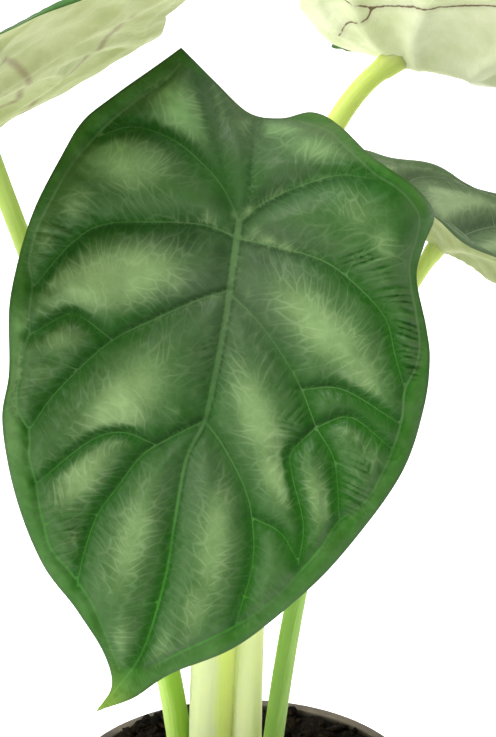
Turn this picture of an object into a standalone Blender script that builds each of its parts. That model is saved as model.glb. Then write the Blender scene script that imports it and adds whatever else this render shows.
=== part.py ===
# Potted alocasia with four blistered, shield-shaped leaves on long stalks.
# Metres, +Z up. The origin is the middle of the pot's underside, and the front leaf faces -Y.

import math
import random

import bpy
import bmesh
import numpy as np
from mathutils import Matrix, Vector
from mathutils.bvhtree import BVHTree
from mathutils.geometry import delaunay_2d_cdt

MM = 0.001
GAP = 0.0003  # between pieces that touch
SEED = 11

# Pot: a plain moulded 12 cm nursery pot with a turned-out rim and drain holes
POT_HEIGHT = 0.106
POT_RIM_RADIUS = 0.060
POT_FOOT_RADIUS = 0.043
POT_FOOT_BEVEL = 0.0015
POT_WALL = 0.0018
POT_FLOOR = 0.0025
POT_RIM_HEIGHT = 0.009
POT_RIM_OVERHANG = 0.0022
POT_RIM_BEVEL = 0.0009
POT_SEGMENTS = 44
DRAIN_HOLES = 6
DRAIN_HOLE_RADIUS = 0.0045
DRAIN_CIRCLE_RADIUS = 0.029
DRAIN_START = 0.37  # share of a hole's step, so that no hole lines up with the pot's edges
DRAIN_SEGMENTS = 12
DRAIN_TURN = 0.2  # radians

# Soil: fills the pot to just under its rim, and rises a little towards the plant
SOIL_BELOW_RIM = 0.006
SOIL_LUMP = 0.0016
SOIL_MOUND = 0.0025
SOIL_MOUND_RADIUS = 0.030
SOIL_RINGS = 9
SOIL_EDGE = 0.002
SOIL_CLEARANCE = 0.0004

# Corm: the short stem in the soil that the leaf stalks rise from
CORM_CENTRE = (-0.006, 0.0)
CORM_HALF_WIDTH = 0.0210
CORM_HALF_DEPTH = 0.0135
CORM_LENGTH = 0.040
CORM_ABOVE_SOIL = 0.0015
CORM_SEGMENTS = 24
CORM_HOLE_MARGIN = 0.0005
CORM_PROFILE = [  # share of the half width, share of the length below the top
    (0, -1), (0.45, -0.98), (0.75, -0.86), (0.94, -0.6), (1, -0.3), (0.99, -0.03), (0.96, 0), (0, 0),
]

# Leaf stalks
STALK_SIDES = 10
STALK_RINGS = 15
STALK_TAPER = (0.12, 0.85)  # shares of a stalk's length between which its sheath narrows
STALK_END_CLEARANCE = 0.0006
STALK_REACH = 0.020  # how far below the blade the end of a stalk starts to look for it

# Blades, in millimetres
BLADE_THICKNESS = 0.95
FRONT_SPACING = 5.3  # between the points of the front blade
BACK_SPACING = 6.6  # between the points of the other blades
LINE_STEP = 2.0  # between the points of outlines and veins
VEIN_POINTS_APART = 0.62  # shares of the spacing
INNER_POINTS_APART = 0.68
POINT_JITTER = 0.12
VEIN_DEPTH = {1: 4.2, 2: 2.6, 3: 1.3}  # that the upper side sinks along a vein of each rank
VEIN_REACH = {1: 7.0, 2: 5.0, 3: 3.4}  # over which it rises again
VEIN_DEPTH_LOSS = 0.65  # share lost from the start of a vein to its end
VEIN_REACH_LOSS = 0.35
VALLEY_POWER = 1.4
VALLEY_BLEND = 6  # how sharply the valleys of two veins run into each other
RIB_THICKNESS = {1: 1.3, 2: 0.6, 3: 0.2}  # that a vein stands out below
RIB_REACH = 2.2
RIB_LOSS = 0.8
SIDE_DROOP = 0.0011  # per mm, as the square of the distance from the midrib
LOBE_DROOP = 0.0032
TIP_DROOP = 0.0002
WAVE_HEIGHT = 0.9
WAVE_COUNT = 15
WAVE_REACH = 6
ROLL_EVERYWHERE = 1.2
ROLL_WIDTH = 9
FOLD_SOFTNESS = 10
ARCH_LENGTH = 150  # over which a blade bends by its arch
BACK_RELIEF = 0.65  # the back blades are less blistered than the front one

# The front blade in its own plane. The stalk meets it at (0, 0), -Y is towards its tip.
FRONT_RIGHT_MARGIN = [
    (-17.5, 53), (-7.5, 43), (2.5, 34), (12.5, 32.5), (22.5, 35), (31, 31), (41, 19.5), (53.5, 10.5),
    (59, 2.5), (56, -6.5), (53.5, -16.5), (56.5, -31.5), (57.5, -42), (55.5, -57), (49.5, -74.5),
    (36.5, -93.5), (21.5, -110), (0.5, -127), (-21, -136.5), (-32, -143.5), (-43, -147.5),
]
FRONT_LEFT_MARGIN = [
    (-43, -147.5), (-38.5, -140), (-41, -129.5), (-49, -117), (-59.5, -103), (-68, -81), (-71.5, -60),
    (-69.5, -45.5), (-69, -23.5), (-63.5, -1), (-54, 19), (-47.5, 30), (-38.5, 37.5), (-17.5, 53),
]
FRONT_VEINS = [  # rank, then the points that the vein runs through
    (1, [(0, 0), (-2, -14.5), (-4, -29), (-7, -45), (-10.5, -60.5), (-16, -72), (-19.5, -90.5),
         (-22.5, -108.5), (-29.5, -131), (-39, -144.5)]),
    (1, [(0, 0), (-5, 10.5), (-12.5, 19), (-21, 25.5), (-32.5, 29), (-43, 26)]),
    (1, [(0, 0), (7, 5.5), (17.5, 10.5), (30, 14.5), (43.5, 12), (52, 3)]),
    (1, [(0, -5), (-10.5, -1), (-25.5, 0), (-42, -1), (-52, -7.5), (-62, -19)]),
    (1, [(0, -5), (11, -7.5), (23.5, -11), (32.5, -16.5), (44, -28.5), (47.5, -41), (50.5, -51)]),
    (1, [(-3.5, -21), (-13, -24), (-26.5, -30), (-38.5, -36), (-49, -45), (-57.5, -54), (-64, -63.5)]),
    (1, [(-3.5, -21), (5, -29.5), (12.5, -39.5), (19, -51), (23.5, -62.5), (29, -73), (30.5, -91)]),
    (1, [(-10.5, -60.5), (-20.5, -65.5), (-29.5, -71), (-36.5, -80), (-43, -89), (-47, -100),
         (-49.5, -111)]),
    (1, [(-10.5, -60.5), (-5, -68), (1.5, -80.5), (4, -91), (4, -104.5), (-1, -122.5)]),
    (2, [(-2, 5.5), (-5.5, 22), (-11, 42)]),
    (2, [(3, 3.5), (4.5, 19), (5.5, 31)]),
    (2, [(-25, -68), (-35.5, -64), (-46, -67), (-61.5, -79.5)]),
    (2, [(19, -51), (31.5, -51), (49, -61.5)]),
    (2, [(23.5, -62.5), (34, -59.5), (47, -69.5)]),
    (2, [(23.5, -62.5), (16, -70), (16, -76.5), (19.5, -92), (18, -104)]),
    (2, [(4, -90), (12.5, -94.5), (17.5, -102.5)]),
    (2, [(-38.5, -36), (-47, -29.5), (-52, -28), (-64, -34.5)]),
    (3, [(-49, -45), (-59, -41.5), (-66, -42)]),
    (3, [(-43, -89), (-53.5, -89), (-59, -92.5)]),
    (3, [(-24.5, -115.5), (-35.5, -118), (-40.5, -122)]),
    (3, [(32.5, -16.5), (35, -12), (43.5, -3)]),
    (3, [(16, -45.5), (30.5, -42.5)]),
    (3, [(29, -73), (40.5, -78)]),
    (3, [(4, -104.5), (12, -110.5)]),
    (3, [(1, -113.5), (7.5, -116.5)]),
]
FRONT_ROLLS = [  # where the margin rolls back: x, y, radius and amount
    (20, 34, 16, 7.0), (57, 3, 15, 7.5), (55, -38, 22, 3.0), (-62, -60, 45, 2.2), (10, -120, 45, 2.0),
]
FRONT_GROWTH = 1.012  # the blade droops away from the outline that the front view gives
TURNED_STRIP = [(-5.5, 14), (-6.5, 24), (-9, 36), (-13, 45), (-18, 53.5)]  # the left lobe folds back past it
TURNED_START = 18
TURNED_EASE = 14
TURNED_SLOPE = 0.75

# The other blades share one symmetric form, in parts of the length from the stalk to the tip.
HALF_MARGIN = [
    (0, 0.20), (0.06, 0.29), (0.15, 0.38), (0.26, 0.33), (0.36, 0.20), (0.42, 0.02), (0.445, -0.18),
    (0.43, -0.36), (0.36, -0.56), (0.24, -0.75), (0.10, -0.91), (0.03, -0.97), (0, -1),
]
HALF_VEINS = [
    (1, [(0, 0), (0.06, 0.10), (0.16, 0.17), (0.27, 0.16), (0.36, 0.05)]),
    (1, [(0, -0.02), (0.12, -0.03), (0.25, -0.08), (0.35, -0.18), (0.40, -0.30)]),
    (1, [(0, -0.14), (0.10, -0.20), (0.20, -0.29), (0.29, -0.40), (0.35, -0.50)]),
    (1, [(0, -0.36), (0.08, -0.42), (0.16, -0.52), (0.22, -0.63), (0.24, -0.72)]),
    (2, [(0, -0.58), (0.06, -0.63), (0.11, -0.72), (0.13, -0.82)]),
    (2, [(0.02, 0.04), (0.07, 0.18), (0.12, 0.31)]),
    (2, [(0.20, -0.29), (0.28, -0.28), (0.36, -0.34)]),
    (2, [(0.16, -0.52), (0.24, -0.51), (0.31, -0.58)]),
    (3, [(0.25, -0.08), (0.31, -0.02), (0.37, 0.01)]),
    (3, [(0, -0.76), (0.04, -0.81), (0.06, -0.88)]),
]
MIDRIB = [(0, 0), (0, -0.35), (0, -0.7), (0, -0.97)]
LOBE_BREADTH = 0.42
BACK_ROLLS = [(60, 15, 20, 3.5), (-60, -30, 26, 3.0)]

# The camera side of the plant: right, up and towards the viewer, who looks down at 25 degrees.
VIEW_TILT = math.radians(25)
SIDE = Vector((1, 0, 0))
RISE = Vector((0, math.sin(VIEW_TILT), math.cos(VIEW_TILT)))
TOWARDS = Vector((0, -math.cos(VIEW_TILT), math.sin(VIEW_TILT)))

# Each leaf: where its stalk meets the blade, the way to its lobes, the way that its upper side faces,
# how far the halves fold up and the tip bends down in degrees, and its stalk. The back leaves also have
# the length from stalk to tip, the width and lobes against the common form, and how much nearer the
# lobes the notch is cut.
LEAVES = {
    "front": dict(
        joint=(-0.0007, -0.058, 0.338), lobes=(0, 1, 0), faces=(0, 0, 1), fold=0, arch=1,
        foot=(-0.0119, -0.0020), foot_width=0.0124, foot_depth=0.0100, top=0.0056,
        leave=(0.000, 0.012, 0.100), arrive=(0.000, 0.034, -0.052), colour=(0.60, 0.67, 0.33),
    ),
    "upper_left": dict(
        joint=(-0.0813, -0.0517, 0.3755), lobes=(0.69, 0.49, -0.54), faces=(-0.60, 0.80, -0.05),
        length=171, width=1.02, lobe=0.83, notch=0.25, fold=5, arch=-23,
        foot=(-0.0194, 0.0052), foot_width=0.0084, foot_depth=0.0080, top=0.0060,
        leave=(-0.006, -0.004, 0.095), arrive=(0.020, 0.014, -0.080), colour=(0.46, 0.60, 0.20),
    ),
    "upper_right": dict(
        joint=(0.0552, 0.058, 0.348), lobes=(-0.90, 0.22, -0.34), faces=(0.30, 0.94, -0.10),
        length=166, width=0.91, lobe=0.54, notch=0, fold=38, arch=14,
        foot=(-0.0002, 0.0030), foot_width=0.0134, foot_depth=0.0100, top=0.0068,
        leave=(0.000, 0.010, 0.150), arrive=(-0.040, -0.010, -0.010), colour=(0.60, 0.70, 0.22),
    ),
    "right": dict(
        joint=(0.0654, 0.0085, 0.3049), lobes=(-0.83, 0.54, -0.14), faces=(0.48, 0.82, 0.30),
        length=123, width=0.79, lobe=1.00, notch=0, fold=30, arch=-16,
        foot=(0.0080, -0.0034), foot_width=0.0068, foot_depth=0.0072, top=0.0050,
        leave=(0.0080, 0.002, 0.085), arrive=(-0.036, -0.004, -0.050), colour=(0.36, 0.50, 0.16),
    ),
}


def clear_scene():
    for thing in list(bpy.data.objects):
        bpy.data.objects.remove(thing, do_unlink=True)


def make_material(name, colour, roughness):
    material = bpy.data.materials.new(name)
    material.use_nodes = True
    shader = material.node_tree.nodes["Principled BSDF"]
    shader.inputs["Base Color"].default_value = (*colour, 1)
    shader.inputs["Roughness"].default_value = roughness
    shader.inputs["Metallic"].default_value = 0
    material.diffuse_color = (*colour, 1)
    return material


def add_object(name, points, faces, material, sharp_angle=None):
    mesh = bpy.data.meshes.new(name)
    mesh.from_pydata([tuple(point) for point in points], [], faces)
    mesh.materials.append(material)
    shape = bmesh.new()
    shape.from_mesh(mesh)
    bmesh.ops.recalc_face_normals(shape, faces=shape.faces)
    if shape.calc_volume(signed=True) < 0:
        bmesh.ops.reverse_faces(shape, faces=shape.faces)
    shape.to_mesh(mesh)
    shape.free()
    mesh.shade_smooth()
    if sharp_angle is not None:
        mesh.set_sharp_from_angle(angle=math.radians(sharp_angle))
    piece = bpy.data.objects.new(name, mesh)
    bpy.context.scene.collection.objects.link(piece)
    return piece


# Curves and distances in a blade's plane


def smooth_run(points, step):
    # A Catmull-Rom curve through the points, cut into even steps.
    knots = [np.array(point, float) for point in points]
    knots = [2 * knots[0] - knots[1]] + knots + [2 * knots[-1] - knots[-2]]
    fine = []
    for a, b, c, d in zip(knots, knots[1:], knots[2:], knots[3:]):
        for t in np.linspace(0, 1, 24, endpoint=False):
            cubic = (3 * b - a - 3 * c + d) * t**3
            fine.append(0.5 * (2 * b + (c - a) * t + (2 * a - 5 * b + 4 * c - d) * t**2 + cubic))
    fine = np.array(fine + [knots[-2]])
    along = np.concatenate([[0], np.cumsum(np.linalg.norm(np.diff(fine, axis=0), axis=1))])
    marks = np.linspace(0, along[-1], max(1, round(along[-1] / step)) + 1)
    return np.column_stack([np.interp(marks, along, fine[:, 0]), np.interp(marks, along, fine[:, 1])])


def distance_along(points, line):
    # Each point's distance to the line, how far along the line that is, from 0 to 1, and on which side.
    best = np.full(len(points), np.inf)
    share = np.zeros(len(points))
    side = np.zeros(len(points))
    lengths = np.linalg.norm(np.diff(line, axis=0), axis=1)
    total = lengths.sum()
    passed = 0
    for start, end, length in zip(line, line[1:], lengths):
        way = (end - start) / length
        offset = points - start
        along = np.clip(offset @ way, 0, length)
        distance = np.linalg.norm(offset - along[:, None] * way, axis=1)
        nearer = distance < best
        best[nearer] = distance[nearer]
        share[nearer] = ((passed + along) / total)[nearer]
        side[nearer] = (way[0] * offset[:, 1] - way[1] * offset[:, 0])[nearer]
        passed += length
    return best, share, np.sign(side)


def mirrored(points):
    return [(-x, y) for x, y in points]


class Blade:
    # One blade's outline, veins and rolled margins, in millimetres in its plane.

    def __init__(self, right, left, veins, rolls, relief, turned_strip):
        self.right = right
        self.left = left
        self.rolls = rolls
        self.relief = relief
        self.turned_strip = turned_strip
        self.veins = [(rank, smooth_run(points, LINE_STEP)) for rank, points in veins]
        self.outline = self.margin(LINE_STEP)

    def margin(self, step):
        return np.vstack([smooth_run(self.right, step)[:-1], smooth_run(self.left, step)[:-1]])

    def height(self, points):
        # How high the upper side stands over the plane.
        x, y = points.T
        valley = np.zeros(len(points))
        for rank, line in self.veins:
            distance, share, _ = distance_along(points, line)
            depth = VEIN_DEPTH[rank] * (1 - VEIN_DEPTH_LOSS * share)
            reach = VEIN_REACH[rank] * (1 - VEIN_REACH_LOSS * share)
            valley += (depth * np.exp(-((distance / reach) ** VALLEY_POWER))) ** VALLEY_BLEND
        z = -self.relief * valley ** (1 / VALLEY_BLEND)
        z -= SIDE_DROOP * x**2 + np.where(y > 0, LOBE_DROOP, TIP_DROOP) * y**2
        from_margin, share, _ = distance_along(points, np.vstack([self.outline, self.outline[:1]]))
        z += WAVE_HEIGHT * np.sin(share * 2 * math.pi * WAVE_COUNT) * np.exp(-from_margin / WAVE_REACH)
        roll = np.full(len(points), ROLL_EVERYWHERE)
        for cx, cy, radius, amount in self.rolls:
            roll += amount * np.exp(-((x - cx) ** 2 + (y - cy) ** 2) / (2 * radius**2))
        z -= roll * np.clip(1 - from_margin / ROLL_WIDTH, 0, 1) ** 2
        if self.turned_strip:
            distance, _, side = distance_along(points, np.array(self.turned_strip, float))
            ease = np.clip((y - TURNED_START) / TURNED_EASE, 0, 1)
            z -= np.where(side < 0, TURNED_SLOPE * distance * ease, 0)
        return z

    def rib(self, points):
        # How much thicker the blade is under its veins.
        extra = np.zeros(len(points))
        for rank, line in self.veins:
            distance, share, _ = distance_along(points, line)
            height = RIB_THICKNESS[rank] * (1 - RIB_LOSS * share)
            extra = np.maximum(extra, height * np.exp(-((distance / RIB_REACH) ** 2)))
        return extra

    def triangles(self, spacing):
        # Even points on the margin, along the veins and between them, then Delaunay triangles.
        kept = list(self.margin(spacing))
        border = len(kept)

        def far_enough(point, least):
            return min(np.linalg.norm(np.array(kept) - point, axis=1)) > least

        for _, line in self.veins:
            for point in line[:: max(1, round(spacing / LINE_STEP))]:
                if far_enough(point, VEIN_POINTS_APART * spacing):
                    kept.append(point)
        draw = random.Random(SEED)
        low, high = self.outline.min(axis=0), self.outline.max(axis=0)
        row_step = math.sqrt(3) / 2 * spacing
        for row in range(int((high[1] - low[1]) / row_step) + 2):
            for column in range(int((high[0] - low[0]) / spacing) + 2):
                point = low + np.array([
                    (column + 0.5 * (row % 2) + draw.uniform(-POINT_JITTER, POINT_JITTER)) * spacing,
                    row * row_step + draw.uniform(-POINT_JITTER, POINT_JITTER) * spacing,
                ])
                if inside_loop(point, self.outline) and far_enough(point, INNER_POINTS_APART * spacing):
                    kept.append(point)
        flat = [Vector(point) for point in kept]
        found = delaunay_2d_cdt(flat, [], [list(range(border))], 1, 1e-6)
        points = np.array([tuple(point) for point in found[0]])
        return points, [tuple(face) for face in found[2]]


def inside_loop(point, loop):
    x, y = point
    inside = False
    for (x1, y1), (x2, y2) in zip(loop, np.roll(loop, -1, axis=0)):
        if (y1 > y) != (y2 > y) and x < x1 + (y - y1) * (x2 - x1) / (y2 - y1):
            inside = not inside
    return inside


def grown(points, leaf):
    # The common form at this leaf's size, with its own lobes and notch.
    notch_end = HALF_MARGIN[0][1]
    sized = []
    for x, y in points:
        if y > 0:
            filled = leaf["notch"] * max(0, 1 - abs(x) / LOBE_BREADTH) * min(1, y / notch_end)
            y = (y + filled) * leaf["lobe"]
        sized.append((x * leaf["width"] * leaf["length"], y * leaf["length"]))
    return sized


def front_blade():
    right, left = [
        [(x * FRONT_GROWTH, y * FRONT_GROWTH) for x, y in side]
        for side in (FRONT_RIGHT_MARGIN, FRONT_LEFT_MARGIN)
    ]
    return Blade(right, left, FRONT_VEINS, FRONT_ROLLS, 1, TURNED_STRIP)


def back_blade(leaf):
    veins = [(1, grown(MIDRIB, leaf))]
    for rank, points in HALF_VEINS:
        veins += [(rank, grown(points, leaf)), (rank, grown(mirrored(points), leaf))]
    right = grown(HALF_MARGIN, leaf)
    return Blade(right, mirrored(right)[::-1], veins, BACK_ROLLS, BACK_RELIEF, None)


def bent(points, z, fold, arch):
    # The blade's halves fold up by one angle, then it bends back over its length by another.
    x, y = points.T
    fold = math.radians(fold)
    spread = np.sqrt(x**2 + FOLD_SOFTNESS**2)
    lifted = z + math.sin(fold) * (spread - FOLD_SOFTNESS)
    across = x * (1 - (1 - math.cos(fold)) * np.abs(x) / spread)
    radius = ARCH_LENGTH / math.radians(arch)
    turn = y / radius
    reach = radius + lifted
    return np.column_stack([across, reach * np.sin(turn), reach * np.cos(turn) - radius])


def vertex_normals(points, faces):
    normals = np.zeros_like(points)
    corners = points[np.array(faces)]
    across = np.cross(corners[:, 1] - corners[:, 0], corners[:, 2] - corners[:, 0])
    for corner in range(3):
        np.add.at(normals, np.array(faces)[:, corner], across)
    return normals / np.linalg.norm(normals, axis=1)[:, None]


def leaf_matrix(leaf):
    lobes, faces = leaf["lobes"], leaf["faces"]
    along = (SIDE * lobes[0] + RISE * lobes[1] + TOWARDS * lobes[2]).normalized()
    up = SIDE * faces[0] + RISE * faces[1] + TOWARDS * faces[2]
    up = (up - along * up.dot(along)).normalized()
    across = along.cross(up)
    frame = Matrix((across, along, up)).transposed().to_4x4()
    return Matrix.Translation(Vector(leaf["joint"])) @ frame


def border_edges(faces):
    edges = {(a, b) for face in faces for a, b in zip(face, face[1:] + face[:1])}
    return sorted((a, b) for a, b in edges if (b, a) not in edges)


def build_blade(name, leaf, blade, spacing, material):
    flat, faces = blade.triangles(spacing)
    top = bent(flat, blade.height(flat), leaf["fold"], leaf["arch"])
    normals = vertex_normals(top, faces)
    if normals[:, 2].mean() < 0:
        faces = [face[::-1] for face in faces]
        normals = -normals
    under = top - normals * (BLADE_THICKNESS + blade.rib(flat))[:, None]
    count = len(top)
    shell = faces + [tuple(count + corner for corner in face[::-1]) for face in faces]
    for a, b in border_edges(faces):
        shell += [(b, a, count + a), (b, count + a, count + b)]
    place = leaf_matrix(leaf)
    points = [place @ (Vector(point) * MM) for point in np.vstack([top, under])]
    return add_object("blade_" + name, points, shell, material)


# Leaf stalks


def smooth_step(t):
    t = min(1, max(0, t))
    return t * t * (3 - 2 * t)


def bezier(points, t):
    a, b, c, d = points
    return a * (1 - t) ** 3 + b * 3 * t * (1 - t) ** 2 + c * 3 * t**2 * (1 - t) + d * t**3


def bezier_way(points, t):
    a, b, c, d = points
    return ((b - a) * (1 - t) ** 2 + (c - b) * 2 * t * (1 - t) + (d - c) * t**2).normalized()


def stalk_path(leaf):
    joint = Vector(leaf["joint"])
    foot = Vector((*leaf["foot"], POT_HEIGHT - SOIL_BELOW_RIM + CORM_ABOVE_SOIL + GAP))
    return [foot, foot + Vector(leaf["leave"]), joint + Vector(leaf["arrive"]), joint]


def stalk_ring(leaf, path, t):
    # An oval round the stalk's middle line. The lowest one lies flat on the corm.
    centre = bezier(path, t)
    way = bezier_way(path, t) if t > 0 else Vector((0, 0, 1))
    across = Vector((0, 1, 0)).cross(way).normalized()
    back = way.cross(across)
    start, end = STALK_TAPER
    sheath = 1 - smooth_step((t - start) / (end - start))
    wide = leaf["top"] + (leaf["foot_width"] - leaf["top"]) * sheath
    deep = leaf["top"] + (leaf["foot_depth"] - leaf["top"]) * sheath
    ring = []
    for side in range(STALK_SIDES):
        angle = 2 * math.pi * side / STALK_SIDES
        ring.append(centre + across * (wide / 2 * math.cos(angle)) + back * (deep / 2 * math.sin(angle)))
    return ring


def meet_underside(tree, start, way):
    # The point just short of the blade's underside.
    hit = tree.ray_cast(start, way)[0] or start + way * (STALK_REACH - 2 * MM)
    point = hit - way * STALK_END_CLEARANCE
    distance = tree.find_nearest(point)[3]
    return point - way * max(0, STALK_END_CLEARANCE - distance)


def build_stalk(name, leaf, blade, material):
    path = stalk_path(leaf)
    tree = BVHTree.FromObject(blade, bpy.context.evaluated_depsgraph_get())
    rings = [stalk_ring(leaf, path, index / (STALK_RINGS - 1)) for index in range(STALK_RINGS)]
    back_off = bezier_way(path, 1) * STALK_REACH
    way = back_off.normalized()
    rings[-1] = [meet_underside(tree, point - back_off, way) for point in rings[-1]]
    tip = meet_underside(tree, path[3] - back_off, way)
    points = [point for ring in rings for point in ring] + [path[0], tip]
    last = (STALK_RINGS - 1) * STALK_SIDES
    faces = []
    for side in range(STALK_SIDES):
        after = (side + 1) % STALK_SIDES
        for low in range(0, last, STALK_SIDES):
            high = low + STALK_SIDES
            faces.append((low + side, low + after, high + after, high + side))
        faces.append((after, side, len(points) - 2))
        faces.append((last + side, last + after, len(points) - 1))
    return add_object("petiole_" + name, points, faces, material, 60)


# Pot, soil and corm


def ringed(name, rows, material, sharp_angle):
    # A closed skin over rings of points, from one end to the other. An end is a single point.
    steps = max(len(row) for row in rows)
    points, indices = [], []
    for row in rows:
        start = len(points)
        indices.append([start] * steps if len(row) == 1 else list(range(start, start + steps)))
        points += row
    faces = []
    for low, high in zip(indices, indices[1:]):
        for step in range(steps):
            after = (step + 1) % steps
            corners = list(dict.fromkeys([low[step], low[after], high[after], high[step]]))
            faces.append(tuple(corners[:3]))
            if len(corners) == 4:
                faces.append((corners[0], corners[2], corners[3]))
    return add_object(name, points, faces, material, sharp_angle)


def circle(radius, height, segments):
    if radius == 0:
        return [Vector((0, 0, height))]
    angles = [2 * math.pi * step / segments for step in range(segments)]
    return [Vector((radius * math.cos(angle), radius * math.sin(angle), height)) for angle in angles]


def outer_radius(height):
    top = POT_RIM_RADIUS - POT_RIM_OVERHANG
    return POT_FOOT_RADIUS + (top - POT_FOOT_RADIUS) * height / POT_HEIGHT


def inner_radius(height):
    return outer_radius(height) - POT_WALL


def build_pot(material):
    under_rim = POT_HEIGHT - POT_RIM_HEIGHT
    profile = [
        (0, 0),
        (POT_FOOT_RADIUS - POT_FOOT_BEVEL, 0),
        (POT_FOOT_RADIUS, POT_FOOT_BEVEL),
        (outer_radius(under_rim), under_rim),
        (POT_RIM_RADIUS - 0.7 * POT_RIM_BEVEL, under_rim + 0.2 * POT_RIM_BEVEL),
        (POT_RIM_RADIUS, under_rim + POT_RIM_BEVEL),
        (POT_RIM_RADIUS, POT_HEIGHT - POT_RIM_BEVEL),
        (POT_RIM_RADIUS - POT_RIM_BEVEL, POT_HEIGHT),
        (inner_radius(POT_HEIGHT) + 0.5 * POT_RIM_BEVEL, POT_HEIGHT),
        (inner_radius(POT_HEIGHT), POT_HEIGHT - POT_RIM_BEVEL),
        (inner_radius(POT_FLOOR), POT_FLOOR),
        (0, POT_FLOOR),
    ]
    pot = ringed("pot", [circle(*point, POT_SEGMENTS) for point in profile], material, 30)
    for index in range(DRAIN_HOLES):
        angle = 2 * math.pi * (index + DRAIN_START) / DRAIN_HOLES
        place = Vector((DRAIN_CIRCLE_RADIUS * math.cos(angle), DRAIN_CIRCLE_RADIUS * math.sin(angle), 0))
        shape = bmesh.new()
        bmesh.ops.create_cone(
            shape, cap_ends=True, segments=DRAIN_SEGMENTS, depth=4 * POT_FLOOR,
            radius1=DRAIN_HOLE_RADIUS, radius2=DRAIN_HOLE_RADIUS,
            matrix=Matrix.Translation(place) @ Matrix.Rotation(DRAIN_TURN, 4, "Z"),
        )
        mesh = bpy.data.meshes.new("drain_hole_cutter")
        shape.to_mesh(mesh)
        shape.free()
        cutter = bpy.data.objects.new("drain_hole_cutter", mesh)
        bpy.context.scene.collection.objects.link(cutter)
        cutter.hide_render = True
        cutter.display_type = "WIRE"
        hole = pot.modifiers.new("drain hole", "BOOLEAN")
        hole.object = cutter
        hole.operation = "DIFFERENCE"


def soil_bump(x, y):
    # Lumps of a few millimetres from waves that cross at odd angles, and the rise to the plant.
    wave = math.sin(610 * x + 240 * y) + math.sin(420 * y - 530 * x + 1.7) + math.sin(980 * x - 310 * y + 0.6)
    mound = SOIL_MOUND * math.exp(-(x * x + y * y) / SOIL_MOUND_RADIUS**2)
    return SOIL_LUMP * wave / 3 + mound


def oval(half_width, half_depth, height):
    angles = [2 * math.pi * step / POT_SEGMENTS for step in range(POT_SEGMENTS)]
    x, y = CORM_CENTRE
    return [Vector((x + half_width * math.cos(a), y + half_depth * math.sin(a), height)) for a in angles]


def build_soil(material):
    surface = POT_HEIGHT - SOIL_BELOW_RIM
    bottom = POT_FLOOR + GAP
    hole_bottom = surface + CORM_ABOVE_SOIL - CORM_LENGTH - GAP
    hole = (CORM_HALF_WIDTH + CORM_HOLE_MARGIN, CORM_HALF_DEPTH + CORM_HOLE_MARGIN)
    draw = random.Random(SEED)

    def wall(height):
        return circle(inner_radius(height) - SOIL_CLEARANCE, height, POT_SEGMENTS)

    rows = [[Vector((0, 0, bottom))], wall(bottom), wall(surface - SOIL_EDGE)]
    for ring in range(SOIL_RINGS):
        share = ring / (SOIL_RINGS - 1)
        row = [outer.lerp(inner, share) for outer, inner in zip(wall(surface), oval(*hole, surface))]
        if 0 < share < 1:
            for spot in row:
                spot.z += soil_bump(spot.x, spot.y) + draw.uniform(-0.5, 0.5) * SOIL_LUMP
        rows.append(row)
    rows += [oval(*hole, hole_bottom), [Vector((*CORM_CENTRE, hole_bottom))]]
    ringed("soil", rows, material, 40)


def build_corm(material):
    top = POT_HEIGHT - SOIL_BELOW_RIM + CORM_ABOVE_SOIL
    x, y = CORM_CENTRE
    rows = []
    for share, level in CORM_PROFILE:
        height = top + level * CORM_LENGTH
        ring = circle(share, 0, CORM_SEGMENTS)
        rows.append([
            Vector((x + spot.x * CORM_HALF_WIDTH, y + spot.y * CORM_HALF_DEPTH, height)) for spot in ring
        ])
    ringed("corm", rows, material, 40)


def build():
    clear_scene()
    build_pot(make_material("black moulded plastic", (0.012, 0.012, 0.012), 0.45))
    build_soil(make_material("peat soil", (0.020, 0.013, 0.008), 0.95))
    build_corm(make_material("corm skin", (0.16, 0.11, 0.06), 0.8))
    for name, leaf in LEAVES.items():
        front = name == "front"
        form = front_blade() if front else back_blade(leaf)
        spacing = FRONT_SPACING if front else BACK_SPACING
        skin = make_material("leaf blade " + name, (0.10, 0.22, 0.07), 0.42)
        blade = build_blade(name, leaf, form, spacing, skin)
        bpy.context.view_layer.update()
        build_stalk(name, leaf, blade, make_material("leaf stalk " + name, leaf["colour"], 0.4))


build()
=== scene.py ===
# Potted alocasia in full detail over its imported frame: leaf blades, stalks, corm, soil and pot.
# Metres, +Z up, the front leaf faces -Y. Blades are worked out flat, in millimetres, then bent and placed.

import math
import random
from functools import partial

import bmesh
import bpy
import numpy as np
from mathutils import Matrix, Vector, noise
from mathutils.bvhtree import BVHTree
from mathutils.geometry import delaunay_2d_cdt


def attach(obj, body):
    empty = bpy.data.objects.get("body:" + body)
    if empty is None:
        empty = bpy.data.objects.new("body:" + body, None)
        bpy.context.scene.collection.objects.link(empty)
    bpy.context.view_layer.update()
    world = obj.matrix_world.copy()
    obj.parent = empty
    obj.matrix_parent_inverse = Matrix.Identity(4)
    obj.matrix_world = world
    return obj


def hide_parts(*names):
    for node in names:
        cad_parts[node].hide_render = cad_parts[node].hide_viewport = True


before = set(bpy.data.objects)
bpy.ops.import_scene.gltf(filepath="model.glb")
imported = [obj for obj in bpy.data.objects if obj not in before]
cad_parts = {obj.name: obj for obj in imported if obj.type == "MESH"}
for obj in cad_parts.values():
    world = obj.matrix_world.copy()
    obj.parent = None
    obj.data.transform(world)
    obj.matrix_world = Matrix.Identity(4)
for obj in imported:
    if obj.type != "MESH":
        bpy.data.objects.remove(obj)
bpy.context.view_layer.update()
mm = 0.001
coarser = 1.0
print("frame loaded with", len(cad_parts), "nodes")


# Helpers for materials and meshes

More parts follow.
